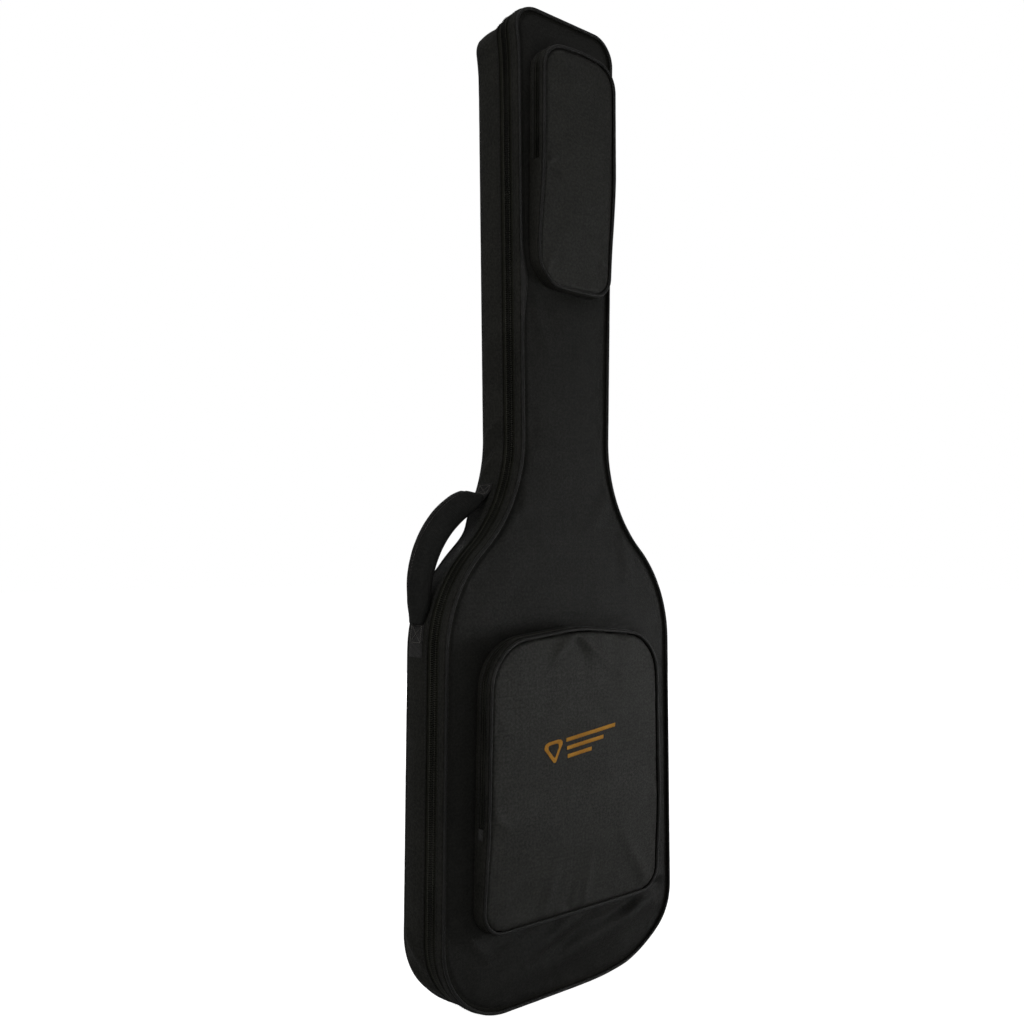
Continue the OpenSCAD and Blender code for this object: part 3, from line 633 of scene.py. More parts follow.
def hardMaterial(name, **look):
    # enamelled metal or moulded plastic, with scuffs where it is handled
    material, tree, shader = startMaterial(name, Specular_IOR_Level=0.5)
    place = objectPlace(tree)
    wear = useGroup(tree, dustAndWear, Place=place)
    scratch = between(tree, noiseAt(tree, place, 900.0, 2.0, (1, 1, 0.08)), 0.60, 0.70)
    scuff = calc(tree, "MULTIPLY", scratch, between(tree, noiseAt(tree, place, 160.0, 2.0), 0.48, 0.62))
    colour = mixColour(tree, wear["Patch"], look["dark"], look["light"])
    colour = mixColour(tree, calc(tree, "MULTIPLY", scuff, look["scuffed"]), colour, look["bare"])
    dusty = calc(tree, "MULTIPLY", wear["Dust"], 0.2)
    feed(tree, shader.inputs["Base Color"], mixColour(tree, dusty, colour, grey(0.08)))
    metal, rough = look["metal"], look["rough"]
    feed(tree, shader.inputs["Metallic"], calc(tree, "MULTIPLY_ADD", scuff, metal, metal * 0.35))
    feed(tree, shader.inputs["Roughness"], between(tree, wear["Dust"], 0.0, 1.0, rough, rough + 0.25))
    grain = bumpFrom(tree, noiseAt(tree, place, look["grain"], 2.0), 0.05 * mm, 0.5)
    feed(tree, shader.inputs["Normal"], bumpFrom(tree, scuff, -0.03 * mm, 0.6, grain))
    return material


zipCoil = coilMaterial()
sewingThread = threadMaterial("sewingThread", grey(0.006), grey(0.030), 0.15)
zipThread = threadMaterial("zipThread", (0.026, 0.026, 0.020, 1), (0.075, 0.075, 0.060, 1), 0.15)
patchThread = threadMaterial("patchThread", grey(0.060, 0.06), grey(0.180, 0.07), 0.20)
goldThread = threadMaterial("goldThread", (0.42, 0.16, 0.012, 1), (0.80, 0.42, 0.055, 1), 0.25)
darkMetal = hardMaterial(
    "darkMetal", dark=grey(0.010), light=grey(0.022), bare=grey(0.40, 0.03), scuffed=0.55, metal=0.6,
    rough=0.30, grain=1800.0)
blackPlastic = hardMaterial(
    "blackPlastic", dark=grey(0.009), light=grey(0.016), bare=grey(0.07), scuffed=0.35, metal=0.0,
    rough=0.42, grain=2600.0)
print("materials built")


# strips, cords, teeth and stitches
piping = dict(radius=2 * mm, inset=2.3 * mm, proud=1.5 * mm)


def flatStrip(name, length, rows, step=3 * mm):
    # a flat grid from x = 0 to length, with a row of points at each given depth
    deselectAll()
    cuts = max(2, round(length / step))
    bpy.ops.mesh.primitive_grid_add(
        x_subdivisions=cuts, y_subdivisions=len(rows) - 1, size=1, location=(0.5, 0.5, 0))
    obj = placed(bpy.context.object)
    co = points(obj)
    co[:, 0] *= length
    co[:, 1] = np.interp(co[:, 1] * (len(rows) - 1), range(len(rows)), rows)
    setPoints(obj, co)
    return named(clothUv(obj), name)


def wallStrip(name, path, start, length, profile, thickness, step=3 * mm, puckers=0.0, seed=0.0, folds=None):
    # a sewn strip of cloth round a path; the profile gives its height at each depth
    depths, heights = zip(*profile)
    obj = flatStrip(name, length, depths, step)
    co = points(obj)
    co[:, 2] += np.interp(co[:, 1], depths, heights)
    setPoints(obj, co)
    co = points(obj)
    px, pz, nx, nz = along(path, co[:, 0] + start)
    world = np.stack([px, co[:, 1], pz], 1)
    middle = np.clip(1 - np.abs(2 * (co[:, 1] - depths[0]) / (depths[-1] - depths[0]) - 1) ** 3, 0, 1)
    if puckers:
        co[:, 2] += puckers * (waves(world, 42 * mm, seed) * middle + 0.4 * waves(world, 13 * mm, seed + 4))
    if folds:
        co[:, 2] += folds(world, middle)
    nearFloor = np.interp(pz, [0, 40 * mm], [0.1 * mm, 4 * mm])   # the bag stands flat on its base
    co[:, 2] = np.where(pz < 40 * mm, np.minimum(co[:, 2], nearFloor), co[:, 2])
    setPoints(obj, co)
    useModifier(obj, "SOLIDIFY", thickness=thickness, offset=-1, use_even_offset=True)
    return wrap(obj, path, start)


def flatCord(name, length, depth, inset, radius, step=4 * mm, wide=1.0, endless=False):
    # a straight cord along x, not yet wrapped; wide makes it broader than it is high
    obj = flatStrip(name, length, np.linspace(0, 1, 13), step)
    co = points(obj)
    turn = co[:, 1] * 2 * math.pi
    lump = 1 + 0.05 * waves(np.stack([co[:, 0], turn * 0.01, 0 * turn], 1), 7 * mm, 1.3)
    if endless:
        lump[(co[:, 0] < 1e-6) | (co[:, 0] > length - 1e-6)] = 1
    co[:, 1] = depth + wide * radius * lump * np.cos(turn)
    co[:, 2] = radius * lump * np.sin(turn) - inset
    widenUv(obj, 2 * math.pi * radius)
    return setPoints(obj, co)


def pipingCord(name, path, face, facing, step=4 * mm):
    # piping sewn into the seam all round a panel, a little proud of its face
    depth = face - facing * (piping["radius"] - piping["proud"])
    cord = flatCord(name, path["total"], depth, piping["inset"], piping["radius"], step, endless=True)
    return editMesh(wrap(cord, path), facesOut)


tooth = dict(pitch=2.6 * mm, width=1.5 * mm, rise=3.3 * mm)
toothRings = ((0.18, 1.5), (0.45, 0.95), (0.25, 1.25), (0.12, 0.6))   # share of the reach, and growth


def repeated(obj, count, pitch):
    return useModifier(obj, "ARRAY", count=max(1, count), use_relative_offset=False, use_constant_offset=True,
                       constant_offset_displace=(pitch, 0, 0))


def toothRow(name, length, low, high, top, shift=0.0, pitch=tooth["pitch"], size=1.0):
    # coil loops side by side, each from depth low to depth high; the head is at high
    deselectAll()
    bpy.ops.mesh.primitive_circle_add(
        vertices=6, radius=0.5, fill_type="NGON", location=(0, low, 0), rotation=(math.radians(-90), 0, 0))
    obj = placed(bpy.context.object)
    pick(obj)
    bpy.ops.object.mode_set(mode="EDIT")
    bpy.ops.mesh.select_all(action="SELECT")
    at = low
    bpy.ops.transform.resize(value=(0.6, 1, 0.6), center_override=(0, at, 0))
    for share, growth in toothRings:
        move = (high - low) * share
        at += move
        bpy.ops.mesh.extrude_region_move(TRANSFORM_OT_translate={"value": (0, move, 0)})
        bpy.ops.transform.resize(value=(growth, 1, growth), center_override=(0, at, 0))
    bpy.ops.object.mode_set(mode="OBJECT")
    obj.scale = (tooth["width"] * size, 1, tooth["rise"] * size)
    obj.location = (pitch / 2 + shift, 0, top - tooth["rise"] * size / 2)
    placed(obj)
    editMesh(obj, facesOut)
    return named(repeated(obj, int((length - shift) / pitch), pitch), name)


stitch = dict(pitch=4.2 * mm, length=3.3 * mm, width=0.6 * mm, rise=1.1 * mm)


def stitchRow(name, length, depth=0.0, top=0.0, pitch=stitch["pitch"], size=1.0):
    # a flat row of stitches along x
    deselectAll()
    bpy.ops.mesh.primitive_uv_sphere_add(
        segments=6, ring_count=4, radius=0.5, rotation=(0, math.radians(90), 0))
    obj = placed(bpy.context.object)
    obj.scale = (stitch["length"] * pitch / stitch["pitch"], stitch["width"] * size, stitch["rise"] * size)
    obj.location = (pitch / 2, depth, top)
    return named(repeated(placed(obj), int(length / pitch), pitch), name)


def copyOf(name, *nodes):
    # one merged copy of CAD nodes, free of their place in the frame
    copies = []
    for node in nodes:
        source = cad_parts[node]
        obj = bpy.data.objects.new(name, source.data.copy())
        bpy.context.scene.collection.objects.link(obj)
        obj.data.materials.clear()
        copies.append(obj)
    obj = joined(name, *copies)
    return editMesh(obj, mergePoints)


def softenCopy(name, node, width, segments=3):
    # a hard piece with its edges rounded
    obj = copyOf(name, node)
    editMesh(obj, lambda: bpy.ops.mesh.dissolve_limited(angle_limit=math.radians(2)))
    useModifier(obj, "BEVEL", width=width, segments=segments, limit_method="ANGLE",
                angle_limit=math.radians(35), use_clamp_overlap=True)
    return obj


def swell(obj, pressure, pinned, cap, stiffness=12.0, frames=20):
    # inflates a pad with its seam held, and limits how far it may move
    rest = points(obj)
    seam = obj.vertex_groups.new(name="seam")
    seam.add(np.nonzero(pinned)[0].tolist(), 1.0, "REPLACE")
    pick(obj)
    modifier = obj.modifiers.new("Cloth", "CLOTH")
    settings = modifier.settings
    settings.quality = 4
    settings.tension_stiffness = stiffness
    settings.compression_stiffness = stiffness
    settings.use_pressure = True
    settings.uniform_pressure_force = pressure
    settings.effector_weights.gravity = 0
    settings.vertex_group_mass = "seam"
    modifier.collision_settings.use_collision = False
    modifier.point_cache.frame_start = 1
    modifier.point_cache.frame_end = frames
    for step in range(1, frames + 1):
        bpy.context.scene.frame_set(step)
    bpy.ops.object.modifier_apply(modifier=modifier.name)
    moved = points(obj) - rest
    size = np.linalg.norm(moved, axis=1)[:, None] + 1e-9
    setPoints(obj, rest + moved * cap * np.tanh(size / cap) / size)
    obj.vertex_groups.clear()
    bpy.context.scene.frame_set(1)
    return obj


def creased(co, creases, facing):
    # raises or sinks soft ridges that start strong at one place and die out before the other
    for strongX, strongZ, weakX, weakZ, width, rise in creases:
        a = np.array((strongX, strongZ))
        d = np.array((weakX, weakZ)) - a
        t = ((co[:, [0, 2]] - a) @ d) / (d @ d)
        near = np.hypot(*(co[:, [0, 2]] - a - np.clip(t, 0, 1)[:, None] * d).T)
        bend = np.exp(-(near / (width * mm)) ** 2) * (1 - ramp(t, 0.35, 1.15))
        co[:, 1] += facing * (rise * mm) * bend
    return co


# padded front and back panels
padPressure = 4.0
bagPad = dict(
    voxel=6.5 * mm, seam=9 * mm, skin=3.5 * mm, fadeDepth=(-4.0 * mm, -1.5 * mm), fadeEdge=(6 * mm, 16 * mm),
    waves=((95 * mm, 1.6 * mm), (34 * mm, 0.7 * mm)),      # size and height of the slow and the quick ones
    rim=dict(at=14 * mm, spread=9 * mm, size=19 * mm, height=1.1 * mm),
    groove=dict(sink=1.7 * mm, low=4.8 * mm, high=9.5 * mm),
)
pocketPad = dict(
    seam=7 * mm, skin=2.4 * mm, fadeDepth=(-3.0 * mm, -1.2 * mm), fadeEdge=(5 * mm, 12 * mm),
    waves=((70 * mm, 1.3 * mm), (26 * mm, 0.6 * mm)),
    rim=dict(at=11 * mm, spread=6 * mm, size=15 * mm, height=0.8 * mm),
    groove=dict(sink=1.6 * mm, low=4.6 * mm, high=7.4 * mm),
)
frontPad = dict(
    **bagPad, name="frontPanel", nodes=["front_cover", "front_foam"], face=front, facing=-1,
    cap=5.5 * mm, seed=2.4,
    creases=[
        (0.010, 0.094, -0.125, 0.030, 7.6, 4.5), (0.045, 0.088, -0.080, 0.020, 6.8, -3.1),
        (0.165, 0.110, 0.060, 0.040, 8.5, 3.9), (-0.175, 0.120, -0.120, 0.060, 7.6, 2.8),
        (-0.070, 0.600, -0.020, 0.540, 13.6, 2.8), (0.075, 0.620, 0.030, 0.560, 11.9, 2.6),
        (0.100, 0.560, 0.110, 0.480, 11.9, 3.1), (0.150, 0.080, -0.150, 0.020, 15.0, 6.0),
        (0.168, 0.098, -0.060, 0.052, 9.0, -5.0), (-0.020, 0.098, -0.140, 0.062, 7.0, -2.4),
        (-0.060, 0.850, -0.030, 0.780, 10.2, 2.1),
    ],
)
backPad = dict(
    **bagPad, name="backPanel", nodes=["back_cover", "back_foam"], face=back, facing=1,
    cap=5.0 * mm, seed=9.2,
    creases=[
        (-0.060, 0.640, -0.150, 0.560, 10.2, 3.1), (0.060, 0.640, 0.150, 0.560, 10.2, 3.1),
        (-0.160, 0.100, -0.100, 0.180, 9.3, 2.8), (0.150, 0.090, 0.060, 0.150, 10.2, 3.1),
        (0.000, 0.700, 0.010, 0.820, 11.0, 2.3),
    ],
)


def pressedFlat(xz, kept, pressed, soft):
    # 0 where a pocket or a strap holds the cloth flat, rising to 1 over the soft distance
    flat = np.ones(len(xz))
    for corners in kept:
        flat = np.minimum(flat, ramp(-edgeDistance(xz, corners), -2 * mm, soft))
    for line in pressed:
        a, b = np.array(line["a"]), np.array(line["b"])
        t = np.clip(((xz - a) @ (b - a)) / ((b - a) @ (b - a)), 0, 1)
        near = np.hypot(*(xz - a - t[:, None] * (b - a)).T)
        flat = np.minimum(flat, ramp(near, line["half"], line["half"] + soft))
    return flat


def paddedPanel(pad, outline, kept=(), pressed=()):
    # inflates a copy of the CAD's cloth and foam, then adds waves, folds and the sunk line beside the piping;
    # facing is -1 for what faces forwards and 1 for the back
    face, facing, seed = pad["face"], pad["facing"], pad["seed"]
    obj = copyOf(pad["name"], *pad["nodes"])
    useModifier(obj, "REMESH", mode="VOXEL", voxel_size=pad["voxel"])
    co = points(obj)
    edge = edgeDistance(co[:, [0, 2]], outline)
    outer = facing * (co[:, 1] - face) > -pad["skin"]
    swell(obj, padPressure, edge < pad["seam"], pad["cap"])
    moved = points(obj)
    flat = pressedFlat(co[:, [0, 2]], kept, pressed, 24 * mm)
    co[:, 1] += np.where(outer, (moved[:, 1] - co[:, 1]) * flat, 0)
    setPoints(obj, co)
    useModifier(obj, "SUBSURF", levels=1, render_levels=1)
    co = points(obj)
    edge = edgeDistance(co[:, [0, 2]], outline)
    outer = ramp(facing * (co[:, 1] - face), *pad["fadeDepth"])
    flat = pressedFlat(co[:, [0, 2]], kept, pressed, 20 * mm)
    before = co[:, 1].copy()
    (slow, slowHeight), (quick, quickHeight) = pad["waves"]
    soft = waves(co, slow, seed) * slowHeight + waves(co, quick, seed + 5) * quickHeight
    rim, groove = pad["rim"], pad["groove"]
    gathers = np.exp(-((edge - rim["at"]) / rim["spread"]) ** 2) * rim["height"]
    gathers *= waves(co, rim["size"], seed + 9)
    co[:, 1] += facing * (soft + gathers)
    creased(co, pad["creases"], facing)
    co[:, 1] = before + (co[:, 1] - before) * outer * flat * ramp(edge, *pad["fadeEdge"])
    co[:, 1] -= facing * groove["sink"] * (1 - ramp(edge, groove["low"], groove["high"])) * outer
    return setPoints(obj, co)


def bagPanel(pad, body, kept=(), pressed=()):
    obj = paddedPanel(pad, bagOutline, kept, pressed)
    finish(obj, coverCloth, body, pad["nodes"])
    print(pad["name"], "padded")


bagPanel(frontPad, "lid", [pocketCorners(headPocket), pocketCorners(musicPocket)])

# where pads, webbing and the anchor press on the back: lines with half a width
strapLines = [dict(a=(-0.048, 0.671), b=(0.048, 0.671), half=22 * mm)]
for side in (-1, 1):
    strapLines.append(dict(a=(side * 0.038, 0.655), b=(side * 0.100, 0.315), half=30 * mm))
    strapLines.append(dict(a=(side * 0.090, 0.365), b=(side * 0.1365, 0.110), half=17 * mm))
bagPanel(backPad, "tray", (), strapLines)


# lining
def liningPanel(name, inset, depth, facing, seed):
    # cloth cut to the outline, gridded finely enough to ripple; facing is the side that shows
    path = tracePath(bagOutline, inset, steps=10)
    places = path["places"][:-1]
    deselectAll()
    bpy.ops.mesh.primitive_circle_add(vertices=len(places), radius=1, fill_type="NGON")
    obj = placed(bpy.context.object)
    setPoints(obj, np.stack([places[:, 0], np.full(len(places), depth), places[:, 1]], 1))
    pick(obj)
    bpy.ops.object.mode_set(mode="EDIT")
    for axis, low, high in ((0, -0.18, 0.181), (2, 0.02, 1.19)):   # across and up, every 12 mm
        for cut in np.arange(low, high, 12 * mm):
            bpy.ops.mesh.select_all(action="SELECT")
            place, normal = [0.0, 0.0, 0.0], [0.0, 0.0, 0.0]
            place[axis], normal[axis] = float(cut), 1.0
            bpy.ops.mesh.bisect(plane_co=place, plane_no=normal)
    bpy.ops.object.mode_set(mode="OBJECT")
    area = sum(p.area for p in obj.data.polygons)
    co = points(obj)
    edge = edgeDistance(co[:, [0, 2]], bagOutline) - inset
    sag = ramp(edge, 0, 30 * mm) * (waves(co, 60 * mm, seed) + 0.5 * waves(co, 24 * mm, seed + 2))
    co[:, 1] += facing * (0.2 * mm + 0.35 * mm * sag)
    setPoints(obj, co)
    normals = pointNormals(obj)
    if normals[:, 1].mean() * facing < 0:
        editMesh(obj, flipFaces)
    useModifier(obj, "SOLIDIFY", thickness=0.6 * mm, offset=-1)
    wide, tall = np.ptp(places, axis=0)
    return named(obj, name), (float(wide), float(tall)), area


for label, body, inset, depth, facing, seed in (
    ("front", "lid", 2.9 * mm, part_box("front_lining")[1].y, 1, 1.0),
    ("back", "tray", 7.9 * mm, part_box("back_lining")[0].y, -1, 6.0),
):
    obj, flat, area = liningPanel(label + "Lining", inset, depth, facing, seed)
    finish(obj, liningCloth, body, [label + "_lining"])
print("lining cut")


# side walls
def profileOf(*pairs):
    # a wall's cross-section from depths and heights in mm, front to rear
    return [(depth * mm, height * mm) for depth, height in pairs]


rearFolds = dict(
    depth=24 * mm, reach=30 * mm, handleZ=0.545, handleDip=2 * mm,
    rows=[   # x and z, how steeply the fold crosses the wall, then width and height in mm
        (-0.185, 0.050, 0.9, 7, 3.2), (-0.170, 0.028, 0.7, 6, -2.6), (-0.192, 0.085, 1.0, 8, 2.4),
        (-0.076, 0.652, -0.9, 6, 3.6), (-0.077, 0.672, -0.8, 5, -2.8), (-0.078, 0.694, -0.6, 6, 2.8),
        (-0.080, 0.735, 0.5, 9, 2.2), (-0.079, 0.800, -0.3, 11, 1.6), (-0.080, 0.900, 0.4, 12, 1.2),
        (-0.190, 0.330, 0.6, 14, 1.4), (0.078, 0.700, 0.7, 9, 1.8), (0.185, 0.060, 0.9, 8, 2.2),
    ],
)


def wallFolds(world, middle):
    # folds at the lower left corner, below the handle's upper end and beside the neck
    rise = np.zeros(len(world))
    for x, z, slope, width, height in rearFolds["rows"]:
        line = (world[:, 2] - z) - slope * (world[:, 1] - rearFolds["depth"])
        near = np.exp(-(line / (width * mm)) ** 2) * np.exp(-((world[:, 0] - x) / rearFolds["reach"]) ** 2)
        rise += near * height * mm
    inHandle = np.exp(-((world[:, 2] - rearFolds["handleZ"]) / 0.050) ** 4) * (world[:, 0] < 0)
    return (rise - rearFolds["handleDip"] * inHandle) * middle


frontProfile = profileOf(
    (-27.3, -9.0), (-27.4, -6.0), (-27.6, -3.2), (-27.1, -1.7), (-26.3, -0.5), (-25.0, 0.1), (-22.5, 0.5),
    (-20.0, 0.5), (-18.4, 0.1), (-17.6, 0.2), (-16.9, 0.1), (-16.5, -0.4), (-16.4, -1.0))
frontWall = wallStrip("frontWall", bagPath, 0, bagPath["total"], frontProfile, 0.9 * mm,
                      puckers=0.35 * mm, seed=5.0)
finish(frontWall, wallCloth, "lid", ["front_strip"])

rearProfile = profileOf(
    (5.50, -1.6), (5.55, -0.5), (5.9, 0.0), (6.8, 0.2), (7.8, 0.0), (9.5, 0.5), (13.0, 1.1), (17.0, 1.5),
    (21.0, 1.7), (25.0, 1.8), (29.0, 1.6), (33.0, 1.3), (36.5, 0.8), (39.5, 0.3), (41.2, -0.3), (42.2, -1.6),
    (42.6, -3.2), (42.4, -6.0), (42.3, -9.0))
rearWall = wallStrip("rearWall", bagPath, 0, bagPath["total"], rearProfile, 6.4 * mm,
                     puckers=0.8 * mm, seed=11.0, folds=wallFolds)
finish(rearWall, wallCloth, "tray", ["rear_gusset_cover", "rear_gusset_foam"])

liningProfile = profileOf(
    (5.8, -6.6), (6.4, -7.3), (10, -7.5), (15, -7.6), (20, -7.7), (25, -7.6), (30, -7.5), (34.6, -7.3),
    (35.2, -7.4))
wallLining = wallStrip("wallLining", bagPath, 0, bagPath["total"], liningProfile, 0.5 * mm, 6 * mm,
                       puckers=0.2 * mm, seed=21.0)
finish(wallLining, wallLiningCloth, "tray", ["rear_gusset_lining"])

for label, depth, body in (("front", -18.0, "lid"), ("rear", 7.4, "tray")):
    obj = stitchRow(label + "WallStitches", bagPath["total"], depth * mm, 0.35 * mm)
    wrap(obj, bagPath)
    finish(obj, sewingThread, body)
print("side walls sewn")


# piping
for label, face, facing, body in (("front", front, -1, "lid"), ("back", back, 1, "tray")):
    cord = pipingCord(label + "Piping", bagPath, face, facing)
    finish(cord, pipingCloth, body, [label + "_piping"])
print("piping laid")


# main zip
zipStart = lengthAt(bagPath, hingeHigh)
sideLean = math.atan2(bagCorners[0][0] - bagCorners[1][0], bagCorners[1][1])
zipLength = bagPath["total"] - (hingeHigh - hingeLow) / math.cos(sideLean)


def zipHalf(label, body, low, head, tapeEnd, shift):
    # low is the chain's outer edge, head its middle; the tape runs on to tapeEnd under the wall
    side = 1 if head > low else -1
    depths = sorted([(tapeEnd, -2.7 * mm), (low - side * 4 * mm, -1.6 * mm), (low - side * 1.5 * mm, -1.5 * mm),
                     (low, -2.2 * mm), (low + side * 3 * mm, -2.5 * mm), (head, -2.6 * mm)])
    tape = wallStrip(label + "ZipTape", bagPath, zipStart, zipLength, depths, 0.8 * mm, 4 * mm)
    finish(tape, zipTape, body, [label + "_zip_tape"])
    coil = toothRow(label + "ZipCoil", zipLength, low, head, -0.5 * mm, shift)
    if side < 0:
        editMesh(coil, facesOut)
    wrap(coil, bagPath, zipStart)
    finish(coil, zipCoil, body, [label + "_zip_coil"], 50)
    thread = stitchRow(label + "ZipThread", zipLength, low + side * 1.5 * mm, -0.55 * mm, tooth["pitch"], 1.25)
    wrap(thread, bagPath, zipStart + shift)
    finish(thread, zipThread, body)


meet = 0.35 * mm   # how far each row of teeth reaches past the middle
zipHalf("front", "lid", zipLine - chainHalf, zipLine + meet, lidEdge - 3 * mm, 0.0)
zipHalf("rear", "tray", zipLine + chainHalf, zipLine - meet, trayEdge + 3 * mm, tooth["pitch"] / 2)
print("main zip closed")


# fabric hinge
bendHalf = 11 * mm   # the cloth turns from one body to the other over twice this depth
hinge = dict(a="tray", b="lid", start=(0, zipLine + bendHalf, 0), end=(0, zipLine - bendHalf, 0))
hingeStart = lengthAt(bagPath, hingeLow - 6 * mm)
hingeLength = lengthAt(bagPath, hingeHigh + 6 * mm) - hingeStart
hingeProfile = []
for y in np.linspace(lidEdge - 1.5 * mm, trayEdge + 1.5 * mm, 15):
    raised = ramp(bendHalf + 0.5 * mm - abs(y - zipLine), 0, 4 * mm)
    hingeProfile.append((float(y), float(-1.1 * mm + 0.9 * mm * raised)))
hingeCloth = wallStrip("hingeCloth", bagPath, hingeStart, hingeLength, hingeProfile, 1.0 * mm, 4 * mm,
                       puckers=0.35 * mm, seed=8.0)
finish(hingeCloth, wallCloth, hinge)


zipTab = 14 * mm   # length of the webbing tab on each end of the main zip


def tabPiece(path, start, length, low, high):
    # a little webbing tab folded over the end of a zip
    profile = []
    for y in np.linspace(low, high, 9):
        fromMiddle = abs(2 * (y - low) / (high - low) - 1)
        profile.append((float(y), float(0.75 * mm - 0.55 * mm * fromMiddle ** 6)))
    return wallStrip("tab", path, start, length, profile, 0.9 * mm, 1.5 * mm)


for label, body, low, high in (
    ("front", "lid", lidEdge - 3.2 * mm, zipLine - 0.15 * mm),
    ("rear", "tray", zipLine + 0.15 * mm, trayEdge + 3.2 * mm),
):
    tabs, rows = [], []
    for z in (hingeLow, hingeHigh):
        start = lengthAt(bagPath, z - zipTab / 2)
        tabs.append(tabPiece(bagPath, start, zipTab, low, high))
        for shift in (2.5 * mm, zipTab - 2.5 * mm):
            row = stitchRow("row", high - low - 2 * mm, 0, 0, 2.6 * mm, 0.8)
            co = points(row)
            setPoints(row, np.stack([co[:, 1] + shift, co[:, 0] + low + 1 * mm, co[:, 2] + 0.9 * mm], 1))
            rows.append(wrap(row, bagPath, start))
    finish(joined(label + "ZipTabs", *tabs), webbingCloth, body, [label + "_zip_tabs"])
    finish(joined(label + "TabStitches", *rows), sewingThread, body)
print("hinge and tabs sewn")


# pockets
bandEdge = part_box("music_zip_rear")[1].y - 1 * mm        # front edge of the rear band
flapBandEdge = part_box("music_zip_front")[0].y + 1 * mm   # rear edge of the front band
pocketZipLine = (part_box("music_zip_front")[1].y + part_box("music_zip_rear")[0].y) / 2
pocketSeam = pocketFace + 2.8 * mm
pocketChainHalf = 3.2 * mm
pocketPitch = 1.8 * mm   # one tooth to the next
clothThick = 1.2 * mm


def settle(obj, p):
    # a pocket is shallower towards its foot, where nothing holds it out
    co = points(obj)
    share = 1 - (1 - p["shallow"]) * ramp(p["fold"] + 10 * mm - co[:, 2], 0, p["fold"] - p["low"])
    share = np.where(co[:, 1] < front - 1 * mm, share, 1)
    co[:, 1] = front + (co[:, 1] - front) * share
    return setPoints(obj, co)


